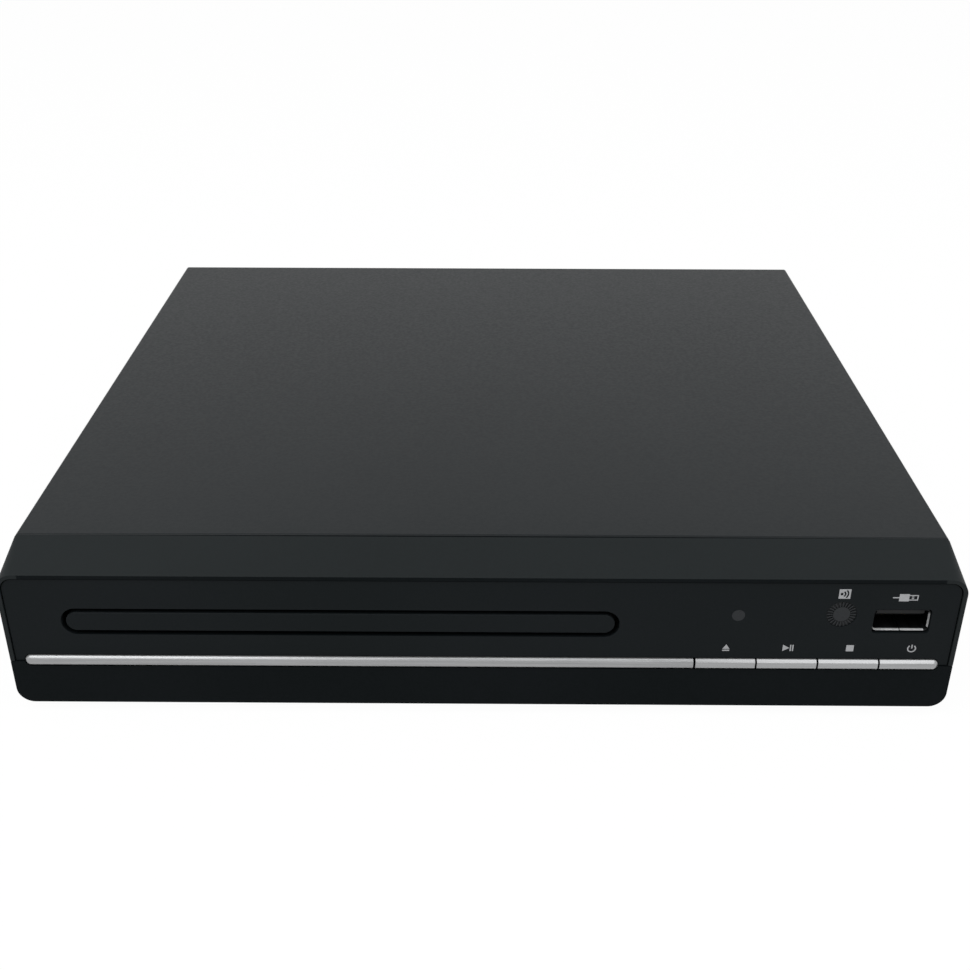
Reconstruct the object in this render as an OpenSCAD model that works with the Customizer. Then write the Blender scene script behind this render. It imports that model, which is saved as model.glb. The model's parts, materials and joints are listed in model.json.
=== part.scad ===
// Compact disc player with a motor-driven tray.
// Millimetres. +X is right, +Y is back, +Z is up, and the part stands on its feet at z = 0.
// Depths are counted back from the front face; at_face() moves them into the part's frame.
// Loader pieces are drawn about the middle of the tray; at_loader() moves them there.

/* [Body] */
// Width of the front moulding
body_w = 225; // [224:1:240]
// Depth from the front face to the back of the cover
body_d = 205; // [204:1:225]
// Height of the flat front face
face_h = 36.4; // [36:0.1:37.5]
// Height of the body above the lower edge of the front
body_h = 39.9; // [39.5:0.1:44]
// Depth of the sloping top of the front
bevel_d = 12.4; // [11:0.2:14]
// Height of the lower edge of the front above the table
foot_h = 3; // [2:0.5:6]
// How far the cover stands in from the front moulding on each side
cover_inset = 1.5; // [0.8:0.1:2]
// Radius of the upper corners of the front
corner_r = 4.2; // [3:0.1:5]
// Radius of the lower corners of the front
skirt_r = 4; // [3:0.1:5]
// Inner bend radius of the cover's sheet
cover_bend = 0.3; // [0.2:0.1:1.5]
// Height of the seam between the hood and the skirt
split_h = 12.1; // [12:0.05:13]

/* [Walls] */
// Thickness of the moulded walls
mould_t = 2; // [1.6:0.1:2.4]
// Thickness of the face plate and of the skirt's front
face_t = 2.3; // [2:0.1:2.6]
// Thickness of the carrier wall behind the face plate
carrier_t = 2; // [1.6:0.1:2.2]
// Steel of the cover
cover_t = 0.7; // [0.5:0.1:1]
// Steel of the chassis and the rear panel
pan_t = 0.8; // [0.6:0.1:1]
// Thickness of every circuit board
board_t = 1.6; // [1:0.1:2]
// Height of the chassis above the lower edge of the front
pan_lift = 2; // [2:0.1:3]
// Seam between two fixed pieces
seam = 0.1; // [0.05:0.05:0.15]
// Clearance round a piece that moves
run_gap = 0.3; // [0.2:0.05:0.35]

/* [Face] */
// Width of the hood's lip above the face plate
lip_top = 0.95; // [0.6:0.05:1.4]
// Width of the hood's lip beside the face plate
lip_side = 1.05; // [0.8:0.05:1.6]
// How far the face plate is set back behind the lip
face_inset = 0.3; // [0.1:0.05:0.6]
// Seam round the face plate
face_seam = 0.25; // [0.1:0.05:0.4]
// Seam between the hood and the cover
cover_seam = 0.25; // [0.1:0.05:0.4]
// Height of the middle of the silver strip
strip_z = 12.4; // [12:0.05:13]
// Height of the silver strip
strip_h = 2.7; // [2.4:0.1:3.6]
// Distance from each end of the strip to the side of the front
strip_end = 3.6; // [3.3:0.1:6]
// How far the strip stands out from the face
strip_proud = 0.5; // [0.2:0.1:0.8]
// Chamfer along the strip
strip_edge = 0.6; // [0.2:0.1:0.8]
// Distance from one button to the next
button_pitch = 14.6; // [13:0.1:15]
// Width of the last button
last_button_w = 14.2; // [13:0.1:15]
// Gap between two buttons
button_gap = 0.45; // [0.25:0.05:0.6]
// Travel of a button
button_travel = 0.5; // [0.3:0.05:0.6]
// Distance from the right side to the middle of the status window
led_in = 52.3; // [46:0.1:56]
// Height of the status window
led_z = 26.15; // [24:0.1:28]
// Diameter of the status window
led_d = 3.05; // [2.5:0.05:4]
// Distance from the right side to the middle of the remote window
ir_in = 28.3; // [26:0.1:34]
// Height of the remote window
ir_z = 26.6; // [25:0.1:28]
// Diameter of the remote window
ir_d = 7.1; // [6:0.1:8]
// Distance from the right side to the middle of the USB cut-out
usb_in = 14; // [13.8:0.05:15]
// Height of the USB cut-out
usb_z = 24.65; // [24:0.05:26]
// Width of the USB cut-out
usb_cut_w = 13.35; // [13.3:0.05:13.8]
// Height of the USB cut-out
usb_cut_h = 6.75; // [6.5:0.05:7]
// How far the USB socket sits behind the front face
usb_y = 0.9; // [0.6:0.1:1.6]

/* [Tray] */
// Height of the middle of the tray slot above the lower edge of the front
slot_z = 23.45; // [23.3:0.05:23.8]
// How far the tray slot is longer than the tray is wide, at each end
slot_side = 2.65; // [2.4:0.05:3]
// Height of the tray slot
slot_h = 7.3; // [7:0.1:7.6]
// Gap round the tray door
door_gap = 1.15; // [0.8:0.05:1.4]
// Width of the tray
tray_w = 126; // [125:0.5:127]
// Length of the tray behind its door
tray_l = 166; // [165:0.5:168]
// Height of the tray
tray_h = 5.4; // [5.2:0.1:5.6]
// Wall of the tray
tray_wall = 2; // [1.6:0.1:2.4]
// Floor of the disc well
tray_floor = 1.2; // [1:0.1:1.4]
// Diameter of a full-size disc
disc_d = 120; // [119:0.5:120]
// Diameter of a small disc
small_disc_d = 80; // [78:1:84]
// Distance from the front face to the middle of the disc
disc_y = 72; // [70:0.5:73]
// Travel of the tray
tray_travel = 134; // [120:1:134]
// Width of the tray's slot for the pickup
pickup_slot_w = 37; // [36:0.5:40]

/* [Loader] */
// Width of the loader's rail beside the tray
rail_w = 10; // [9.5:0.1:10.5]
// Distance from the side of the chassis to the loader
loader_side = 4.15; // [4:0.05:5]
// Distance from the front face to the back of the loader
loader_back = 176; // [175:1:178]
// Height of the loader's floor above the chassis
loader_lift = 2.2; // [2:0.1:2.6]
// Wall of the loader frame
loader_wall = 1.6; // [1.4:0.1:2]
// Module of the tray rack and its pinion
rack_m = 1; // [0.9:0.1:1]
// Teeth of the tray pinion
pinion_n = 14; // [14:1:14]
// Module of the reduction gears
gear_m = 0.8; // [0.7:0.05:0.8]
// Teeth of the large reduction wheel
wheel_n = 36; // [36:12:36]
// Teeth of the small reduction gear
small_n = 12; // [12:1:12]
// Distance from the front face to the gear shafts
gear_y = 22; // [22:0.5:22.5]
// Radius of the fixed gear shafts
shaft_r = 1.5; // [1.2:0.1:1.8]
// Running fit between a shaft and its bore
shaft_fit = 0.05; // [0.03:0.01:0.08]
// Play between two meshing gears
backlash = 0.16; // [0.12:0.02:0.24]
// Radius of the belt groove in the large pulley
pulley_r = 12; // [11:0.5:12]
// Radius of the belt groove in the motor pulley
motor_pulley_r = 2.4; // [2:0.1:3]
// Thickness of the belt
belt_t = 1; // [0.8:0.1:1.2]
// Travel of the cam slider
cam_travel = 20; // [18:1:20]
// Angle between the lowered and the raised traverse
tilt = 5; // [4.8:0.1:5.2]
// Distance from the front face to the hinge of the traverse
pivot_y = 158; // [157:0.5:158.5]
// Radius of the hinge pins of the traverse
trunnion_r = 1.6; // [1.4:0.1:1.8]
// Travel of the pickup sled
sled_travel = 34; // [30:1:34]
// Distance from the middle of the disc to the lens at rest
lens_start = 24; // [23:0.5:25]
// Travel of the lens up and down from its middle
lens_travel = 0.4; // [0.2:0.05:0.4]
// Radius of the guide rods
rod_r = 1.5; // [1.2:0.1:1.5]
// Distance from the middle of the sled to each guide rod
rod_x = 24; // [23.5:0.1:24.2]
// Radius of the turntable
turntable_r = 14.5; // [13:0.5:15]

/* [Rear] */
// Distance from the left side to the middle of the long audio and video socket
scart_in = 42.5; // [40:0.5:46]
// Distance from the left side to the middle of the digital video socket
video_in = 84.5; // [82:0.5:88]
// Middle of the phono jacks
phono_x = 12; // [8:1:16]
// Distance between two phono jacks
phono_pitch = 14; // [13:0.5:15]
// Radius of the outer ring of a phono jack
phono_r = 4.15; // [4.1:0.05:4.2]
// How far the phono jacks stand out from the rear panel
phono_l = 9; // [8:0.5:10]
// Distance from the right side to the middle of the mains inlet
inlet_in = 20.5; // [18.5:0.5:22]

/* [Hidden] */
$fn = 48;
eps = 0.01;
cut = 1;                                  // how far a cutting solid runs past a face

// Places in the whole body
bottom_z = foot_h;
face_z = bottom_z + face_h;
top_z = bottom_z + body_h;
cover_w = body_w - 2 * cover_inset;
cover_r = cover_bend + cover_t;
split_z = bottom_z + split_h;
side_x = body_w / 2;
pan_z = bottom_z + pan_lift;
pan_top = pan_z + pan_t;
pan_w = cover_w - 2 * cover_t - 2 * seam;
loader_w = tray_w + 2 * rail_w;
slot_l = tray_w + 2 * slot_side;
slot_x = loader_side + loader_w / 2 - pan_w / 2;
led_x = side_x - led_in;
ir_x = side_x - ir_in;
usb_x = side_x - usb_in;
scart_x = scart_in - side_x;
video_x = video_in - side_x;
inlet_x = side_x - inlet_in;
carrier_y = face_t + carrier_t;
taper = cover_inset / bevel_d;            // how fast the front moulding narrows to the back
carrier_w = body_w - 2 * (mould_t + taper * carrier_y + 2 * seam);
panel_y = body_d - cover_t - seam - pan_t;
jack_out = panel_y + pan_t + phono_l - body_d;
front_y = -(body_d + jack_out - strip_proud) / 2;

// Silver strip and buttons
strip_l = body_w - 2 * strip_end;
strip_mid = bottom_z + strip_z;
strip_gap = 0.2;
cap_back = 1.2;
stem_w = 3;
switch_y = carrier_y + 0.9;
switch_w = 6;
switch_d = 3.4;
plunger_r = 1.6;
plunger_out = 0.5;
contact_gap = 0.05;
front_board_y = switch_y + switch_d;
buttons_x0 = strip_l / 2 - last_button_w - 3 * button_pitch;
function button_left(i) = buttons_x0 + i * button_pitch + button_gap / 2;
function button_right(i) = i < 3 ? button_left(i + 1) - button_gap : strip_l / 2;
function button_mid(i) = (button_left(i) + button_right(i)) / 2;

// USB socket: the standard receptacle
usb_w = 13.1;
usb_h = 5.72;
usb_t = 0.3;
usb_l = 14;
usb_joint = 0.2;
usb_mid = bottom_z + usb_z;
usb_board_top = usb_mid - usb_h / 2;

// Tray
slot_mid = bottom_z + slot_z;
tray_y = face_t + seam;
tray_rise = 0.4;                          // the tray's middle is this far above the slot's
tray_z = slot_mid + tray_rise - tray_h / 2;
tray_top = tray_z + tray_h;
well_r = disc_d / 2 + 1;
small_well_r = small_disc_d / 2 + 1;
well_depth = 1.7;
well_z = tray_top - well_depth;
pocket_top = well_z - tray_floor;
small_well_z = well_z - 1;
slot_end = 74;                            // the pickup slot runs this far behind the disc's middle
slot_corner_r = 4;

// Rack and reduction gears
press = 20;                               // pressure angle
tooth_add = 0.68;                         // addendum in modules
tooth_ded = 0.95;                         // dedendum in modules
pinion_r = rack_m * pinion_n / 2;
rack_root_x = tray_w / 2 - tray_wall;
rack_line_x = rack_root_x - tooth_ded * rack_m;
drive_x = rack_line_x - pinion_r;
gear_gap = gear_m * (wheel_n + small_n) / 2;
pulley_x = drive_x - gear_gap;
motor_x = pulley_x - 28.5;
loader_z = pan_top + loader_lift;
loader_floor = loader_z + loader_wall;
gear_z = loader_floor + run_gap;
wheel_t = 2.5;
pinion_z = tray_z + 0.2;
pinion_t = 2;
hub_r = 4;
pulley_z = tray_z - 4.4;
pulley_t = 2.8;
pulley_rim = 1.1;
belt_fit = 0.1;

// Loader frame
loader_y = 6;
deck_x = tray_w / 2 - 3;
deck_z = tray_z - run_gap;
deck_t = 2;
guide_gap = 0.4;
rail_top = tray_top + 0.35;
tab_t = 1.4;
loader_top = tray_top + 3.4;
cross_y = 37.7;
cross_t = 1.5;
cam_y = cross_y + cross_t + run_gap;
cam_t = 2.5;
pivot_z = pan_top + 12.2;

// Traverse, drawn raised
plate_z = pivot_z - 0.8;
plate_t = 1.5;
plate_top = plate_z + plate_t;
plate_y = 46;
plate_w = 68;
pin_r = 1.5;
pin_z = pivot_z + 3;
pin_x = 12;
pin_y0 = cam_y + 0.1;
pin_mid = cam_y + cam_t / 2;
cam_rise = (pivot_y - pin_mid) * sin(tilt);
pin_low = pin_z - cam_rise;
rod_z = plate_top + 2.3;
rod_y0 = 76;
rod_y1 = 151;
bracket_t = 3;
seat_z = well_z + 0.8;                    // underside of a disc on the turntable
hub_h = 1.6;
motor_top = seat_z - 4.05;
motor_r = 12;
sled_w = 55;
sled_y = disc_y + lens_start;
sled_half = 13;
sled_top = plate_top + 4.4;
sled_m = 0.6;
sled_pinion_n = 12;
sled_wheel_m = 0.5;
sled_wheel_n = 40;
sled_rack_x = sled_w / 2 + 1.3 + tooth_ded * sled_m;
sled_gear_x = sled_rack_x + sled_m * sled_pinion_n / 2;
sled_motor_x = sled_gear_x + sled_wheel_m * (sled_wheel_n + sled_pinion_n) / 2;
sled_gear_y = sled_y + sled_travel / 2;
lens_z = seat_z - 2.85;

// Boards and rear
board_z = pan_top + 5;
board_top = board_z + board_t;
bay_x = slot_x + loader_w / 2 + 4;        // left edge of the bay beside the loader
bay_w = pan_w / 2 - 2 - bay_x;
bay_y0 = 21;
bay_y1 = 113;
screw_edge = 5;                           // from a board's edge to its screw
main_x0 = 6.2 - pan_w / 2;
main_y0 = loader_back + 2;
wing_w = 36;
wing_y0 = bay_y1 + 5;
post_y = panel_y - 6.4;

// ---------- helpers ----------

module at_face() translate([0, front_y, 0]) children();

module at_loader() translate([slot_x, front_y, 0]) children();

// Outline in X and Z, run from y0 to y1
module along_y(y0, y1) translate([0, y1, 0]) rotate([90, 0, 0]) linear_extrude(y1 - y0) children();

// Outline in Y and Z, run from x0 to x1
module along_x(x0, x1) translate([x0, 0, 0]) rotate([90, 0, 90]) linear_extrude(x1 - x0) children();

module block(x0, x1, y0, y1, z0, z1) translate([x0, y0, z0]) cube([x1 - x0, y1 - y0, z1 - z0]);

module both_sides() for (side = [-1, 1]) scale([side, 1, 1]) children();

module round_rect(w, h, r) {
    square([w - 2 * r, h], center = true);
    square([w, h - 2 * r], center = true);
    for (x = [-1, 1], y = [-1, 1]) translate([x * (w / 2 - r), y * (h / 2 - r)]) circle(r);
}

module stadium(l, h) {
    square([l - h, h], center = true);
    for (x = [-1, 1]) translate([x * (l - h) / 2, 0]) circle(h / 2);
}

// Section of the body with round upper corners and a flat lower edge
module arch(w, z0, z1, r) {
    translate([-w / 2, z0]) square([w, z1 - z0 - r]);
    translate([-w / 2 + r, z0]) square([w - 2 * r, z1 - z0]);
    for (x = [-1, 1]) translate([x * (w / 2 - r), z1 - r]) circle(r);
}

// Section of the body with round lower corners and a flat upper edge
module keel(w, z0, z1, r) translate([0, z0 + z1]) mirror([0, 1]) arch(w, z0, z1, r);

// Ring or post on a vertical axis
module post(x, y, z0, z1, r) translate([x, y, z0]) cylinder(h = z1 - z0, r = r);

// Rod along Y
module rod_y(x, z, y0, y1, r) translate([x, y0, z]) rotate([-90, 0, 0]) cylinder(h = y1 - y0, r = r);

// Rod along X
module rod_x(y, z, x0, x1, r) translate([x0, y, z]) rotate([0, 90, 0]) cylinder(h = x1 - x0, r = r);

// Pan-head screw, head up, its seat at z = 0
screw_r = 1.4;
screw_hole_r = 1.5;
head_r = 2.8;
head_h = 1.2;
module screw(l) difference() {
    rotate_extrude() polygon([[0, -l], [screw_r - 0.4, -l], [screw_r, -l + 0.6], [screw_r, 0],
        [head_r, 0], [head_r, head_h * 0.45], [head_r * 0.72, head_h], [0, head_h]]);
    for (a = [0, 90]) rotate(a) translate([-1.5, -0.3, head_h - 0.6]) cube([3, 0.6, cut]);
}

// ---------- gears ----------

function involute(a) = tan(a) * 180 / PI - a;

function polar(r, a) = [r * cos(a), r * sin(a)];

// Half the angle that a tooth takes at radius r
function tooth_half(m, n, r) = 90 / n - backlash / (4 * m * n / 2) * 180 / PI
    + involute(press) - involute(acos(min(1, m * n / 2 * cos(press) / r)));

function gear_points(m, n) = let (
    base = m * n / 2 * cos(press),
    root = m * n / 2 - tooth_ded * m,
    tip = m * n / 2 + tooth_add * m,
    flank = [for (k = [0 : 3]) base + (tip - base) * k / 3])
    [for (i = [0 : n - 1]) let (a = 360 * i / n) each concat(
        [polar(root, a - tooth_half(m, n, base))],
        [for (k = [0 : 3]) polar(flank[k], a - tooth_half(m, n, flank[k]))],
        [for (k = [3 : -1 : 0]) polar(flank[k], a + tooth_half(m, n, flank[k]))],
        [polar(root, a + tooth_half(m, n, base))])];

// Spur gear with a tooth at the angle turn
module gear(m, n, t, turn = 0) rotate(turn) linear_extrude(t) polygon(gear_points(m, n));

// Rack along Y with its pitch line at x = 0, teeth towards -X and a gap at y = 0
function rack_points(m, first, last) = let (
    pitch = PI * m,
    half = pitch / 4 - backlash / 4,
    tip = half - tooth_add * m * tan(press),
    root = half + tooth_ded * m * tan(press))
    concat([[tooth_ded * m + eps, (first - 0.5) * pitch]],
        [for (k = [first : last]) let (y = (k + 0.5) * pitch) each [
            [tooth_ded * m, y - root], [-tooth_add * m, y - tip],
            [-tooth_add * m, y + tip], [tooth_ded * m, y + root]]],
        [[tooth_ded * m + eps, (last + 1.5) * pitch]]);

// ---------- front ----------

module strip_channel() along_y(-cut, face_t) translate([0, strip_mid])
    stadium(strip_l + 2 * strip_gap, strip_h + 2 * strip_gap);

// Window, slot and stem holes that pass through the carrier wall
module carrier_holes(gap) {
    along_y(-cut, carrier_y + cut) {
        translate([slot_x, slot_mid]) stadium(slot_l + 2 * gap, slot_h + 2 * gap);
        translate([usb_x, usb_mid]) round_rect(usb_w + 2 * gap, usb_cut_h + 2 * gap, 0.8);
    }
    rod_y(led_x, bottom_z + led_z, -cut, carrier_y + cut, led_d / 2);
    rod_y(ir_x, bottom_z + ir_z, -cut, carrier_y + cut, ir_d / 2);
}

module front_skirt() color([0.07, 0.08, 0.085]) at_face() difference() {
    union() {
        difference() {
            hull() {
                along_y(0, eps) keel(body_w, bottom_z, split_z - seam, skirt_r);
                along_y(bevel_d - eps, bevel_d) keel(cover_w, bottom_z, split_z - seam, skirt_r);
            }
            hull() {
                along_y(face_t, face_t + eps)
                    keel(body_w - 2 * mould_t, bottom_z + mould_t, split_z + cut, skirt_r - mould_t);
                along_y(bevel_d, bevel_d + cut)
                    keel(cover_w - 2 * mould_t, bottom_z + mould_t, split_z + cut, skirt_r - mould_t);
            }
        }
        along_y(face_t, carrier_y)
            arch(carrier_w, bottom_z + mould_t, face_z - mould_t - 2 * seam, corner_r - mould_t);
        for (share = [-0.4, -0.133, 0.133, 0.4]) block(share * body_w - 0.8, share * body_w + 0.8,
            face_t, bevel_d, bottom_z + mould_t / 2, pan_z);
    }
    for (x = skirt_screw_x)
        post(x, skirt_screw_y, pan_z - skirt_screw_l + pan_t / 2, pan_z + cut, screw_hole_r);
    strip_channel();
    carrier_holes(0.5);
    for (i = [0 : 3]) translate([button_mid(i), carrier_y, strip_mid])
        cube([stem_w + 2 * run_gap, 3 * carrier_t, stem_w + 2 * run_gap], center = true);
}

module front_hood() color([0.16, 0.17, 0.175]) at_face() difference() {
    union() {
        hull() {
            along_y(0, eps) arch(body_w, split_z + seam, face_z, corner_r);
            along_y(bevel_d - eps, bevel_d) arch(cover_w, split_z + seam, top_z, cover_r);
        }
        along_y(bevel_d - eps, bevel_d + 4.5)
            arch(cover_w - 2 * cover_t - 2 * seam, split_z + seam, top_z - cover_t - seam, cover_bend);
    }
    hull() {
        along_y(face_t - eps, face_t)
            arch(body_w - 2 * mould_t, bottom_z, face_z - mould_t, corner_r - mould_t);
        along_y(bevel_d + 4.5, bevel_d + 4.5 + cut)
            arch(cover_w - 2 * cover_t - 2 * mould_t, bottom_z, top_z - cover_t - mould_t + 0.4, 0.5);
    }
    along_y(-cut, face_t + eps)
        arch(body_w - 2 * lip_side, bottom_z, face_z - lip_top, corner_r - lip_side);
}

module fascia_plate() color([0.1, 0.115, 0.12]) at_face() difference() {
    along_y(face_inset, face_t) arch(body_w - 2 * lip_side - 2 * face_seam, split_z + seam,
        face_z - lip_top - face_seam, corner_r - lip_side - face_seam);
    strip_channel();
    along_y(-cut, face_t + cut) {
        translate([slot_x, slot_mid]) stadium(slot_l, slot_h);
        translate([usb_x, usb_mid]) round_rect(usb_cut_w, usb_cut_h, 0.8);
    }
    rod_y(led_x, bottom_z + led_z, -cut, face_t + cut, led_d / 2);
    rod_y(ir_x, bottom_z + ir_z, -cut, face_t + cut, ir_d / 2);
}

// Half section of the strip: flat front, chamfered edge
function strip_section(back) = [[back, 0], [back, strip_h / 2], [strip_edge - strip_proud, strip_h / 2],
    [-strip_proud, strip_h / 2 - strip_edge], [-strip_proud, 0]];

// Bar of the strip from x0 to x1; the section is turned about its middle at a round end
module strip_bar(x0, x1, back, left_round, right_round) {
    r = strip_h / 2;
    along_x(x0 + (left_round ? r : 0), x1 - (right_round ? r : 0)) {
        polygon(strip_section(back));
        mirror([0, 1]) polygon(strip_section(back));
    }
    for (end = [[left_round, x0 + r], [right_round, x1 - r]]) if (end[0])
        translate([end[1], 0, 0]) rotate([90, 0, 0])
            rotate_extrude() polygon([for (p = strip_section(back)) [p[1], -p[0]]]);
}

module trim_strip() color([0.72, 0.73, 0.75]) at_face() translate([0, 0, strip_mid])
    strip_bar(-strip_l / 2, buttons_x0 - button_gap / 2, face_t, true, false);

module button(i) color([0.72, 0.73, 0.75]) at_face() translate([0, 0, strip_mid]) {
    strip_bar(button_left(i), button_right(i), cap_back, false, i == 3);
    translate([button_mid(i) - stem_w / 2, cap_back - eps, -stem_w / 2])
        cube([stem_w, switch_y - plunger_out - contact_gap - cap_back + eps, stem_w]);
}

module eject_button() button(0);

module play_button() button(1);

module stop_button() button(2);

module standby_button() button(3);

module switch_bodies() color([0.15, 0.15, 0.16]) at_face() for (i = [0 : 3]) difference() {
    translate([button_mid(i), 0, strip_mid]) union() {
        block(-switch_w / 2, switch_w / 2, switch_y + 0.3, front_board_y, -switch_w / 2, switch_w / 2);
        block(-switch_w / 2 + 0.3, switch_w / 2 - 0.3, switch_y, switch_y + 0.3 + eps,
            -switch_w / 2 + 0.3, switch_w / 2 - 0.3);
    }
    rod_y(button_mid(i), strip_mid, switch_y - cut, front_board_y - 0.5, plunger_r + shaft_fit);
}

module plunger(i) color([0.85, 0.83, 0.78]) at_face()
    rod_y(button_mid(i), strip_mid, switch_y - plunger_out, front_board_y - 1.1, plunger_r);

module eject_plunger() plunger(0);

module play_plunger() plunger(1);

module stop_plunger() plunger(2);

module standby_plunger() plunger(3);

module led_window() color([0.2, 0.2, 0.21]) at_face() {
    rod_y(led_x, bottom_z + led_z, face_inset + 0.05, carrier_y, led_d / 2);
    rod_y(led_x, bottom_z + led_z, carrier_y, carrier_y + 0.6, led_d / 2 + 0.8);
}

// Remote window: a raised middle disc in a ring of fine radial ribs
module ir_window() color([0.14, 0.14, 0.15]) at_face() {
    rod_y(ir_x, bottom_z + ir_z, face_inset + 0.35, carrier_y, ir_d / 2);
    rod_y(ir_x, bottom_z + ir_z, carrier_y, carrier_y + 0.6, ir_d / 2 + 0.8);
    rod_y(ir_x, bottom_z + ir_z, face_inset + 0.1, face_inset + 0.4, 2);
    translate([ir_x, 0, bottom_z + ir_z]) for (a = [0 : 15 : 345]) rotate([0, a, 0])
        block(2.1, ir_d / 2 - 0.15, face_inset + 0.1, face_inset + 0.4, -0.13, 0.13);
}

module status_led() color([0.75, 0.78, 0.8]) at_face() {
    rod_y(led_x, bottom_z + led_z, carrier_y + 0.9, front_board_y - 1, 1.5);
    rod_y(led_x, bottom_z + led_z, front_board_y - 1, front_board_y, 1.9);
}

module ir_receiver() color([0.12, 0.12, 0.13]) at_face() translate([ir_x, 0, bottom_z + ir_z]) {
    block(-3, 3, carrier_y + 2, front_board_y, -3.4, 3.4);
    rod_y(0, 0, carrier_y + 1, carrier_y + 2 + eps, 2.2);
}

// Folded steel tube with its joint along the floor and two windows for springs in its roof
module usb_socket() color([0.78, 0.79, 0.8]) at_face() translate([usb_x, 0, usb_mid]) difference() {
    along_y(usb_y, usb_y + usb_l) round_rect(usb_w, usb_h, 0.5);
    along_y(usb_y - cut, usb_y + usb_l - usb_t) round_rect(usb_w - 2 * usb_t, usb_h - 2 * usb_t, 0.3);
    for (x = [-3, 3]) translate([x, usb_y + 5, usb_h / 2]) cube([2, 4, 2 * usb_t + 0.2], center = true);
    block(-usb_joint / 2, usb_joint / 2, usb_y - cut, usb_y + usb_l - 2,
        -usb_h / 2 - cut, -usb_h / 2 + 2 * usb_t);
}

module usb_tongue() color([0.93, 0.93, 0.92]) at_face() translate([usb_x, 0, usb_mid]) {
    block(-5.55, 5.55, usb_y + 1.2, usb_y + 11, 0.3, 2.14);
    block(0.1 + usb_t - usb_w / 2, usb_w / 2 - usb_t - 0.1, usb_y + 11 - eps, usb_y + usb_l - usb_t,
        0.1 + usb_t - usb_h / 2, usb_h / 2 - usb_t - 0.1);
}

module usb_board() color([0.1, 0.3, 0.16]) at_face()
    block(usb_x - 8.5, usb_x + 8.5, carrier_y + 1, usb_y + usb_l + 5,
        usb_board_top - board_t, usb_board_top);

module front_board() color([0.1, 0.3, 0.16]) at_face()
along_y(front_board_y, front_board_y + board_t) difference() {
    union() {
        translate([buttons_x0 - 4, pan_top + 1.6])
            square([side_x - mould_t - 1.3 - buttons_x0 + 4, usb_board_top - board_t - pan_top - 1.6]);
        translate([buttons_x0 - 4, pan_top + 1.6])
            square([usb_x - 9 - buttons_x0 + 4, bottom_z + ir_z + 3.4 - pan_top]);
    }
    for (x = [buttons_x0 - 1, usb_x + 3]) translate([x, pan_top + 3.5]) circle(1.6);
}

// ---------- housing ----------

vent_n = 14;
vent_pitch = 5;
vent_y = 112;
vent_l = 13;
vent_w = 2;
side_screw_y = [46, body_d - 15];
side_screw_z = board_top + 2.2;
side_screw_l = 4;
rear_screw_x = [24.5 - side_x, -8, side_x - 42.5];
rear_lip = 6.2;
cover_lift = 0.8;                         // the cover ends this far above the chassis
rear_screw_z = top_z - rear_lip / 2 - 0.2;

module top_cover() color([0.24, 0.25, 0.26]) at_face() difference() {
    along_y(bevel_d + cover_seam, body_d) arch(cover_w, bottom_z + cover_lift, top_z, cover_r);
    along_y(0, body_d - cover_t) arch(cover_w - 2 * cover_t, 0, top_z - cover_t, cover_bend);
    block(-body_w, body_w, body_d - cover_t - cut, body_d + cut, 0, top_z - rear_lip);
    both_sides() {
        for (i = [0 : vent_n - 1])
            translate([cover_w / 2, vent_y + i * vent_pitch, (split_z + face_z) / 2]) rotate([90, 0, 90])
                linear_extrude(4 * cover_t, center = true) rotate(90) stadium(vent_l, vent_w);
        for (y = side_screw_y) rod_x(y, side_screw_z, cover_w / 2 - 2, cover_w / 2 + cut, screw_hole_r);
    }
    for (x = rear_screw_x) rod_y(x, rear_screw_z, body_d - 2, body_d + cut, screw_hole_r);
}

power_posts = [for (x = [bay_x + screw_edge, pan_w / 2 - 6], y = [bay_y0 + screw_edge, bay_y1 - screw_edge])
    [x, y]];
main_posts = [[main_x0 + 6, post_y], [scart_x + 20, post_y], [phono_x + 18, post_y],
    [bay_x + 30, wing_y0 + 12]];
board_posts = concat(power_posts, main_posts);
loader_fix_x = loader_w / 2 - 5;
loader_screw_l = 4.4;
loader_fix_y = [12, loader_back - 7];
foot_x = pan_w / 2 - 14;
foot_y = [30, body_d - 24];
skirt_screw_x = [32.5 - side_x, 0, side_x - 32.5];
skirt_screw_y = 8.5;
skirt_screw_l = 2;
tab_x = [28.5 - side_x, 14, side_x - 26.5];
tab_y = panel_y - 4.5;
tab_w = 18;

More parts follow.
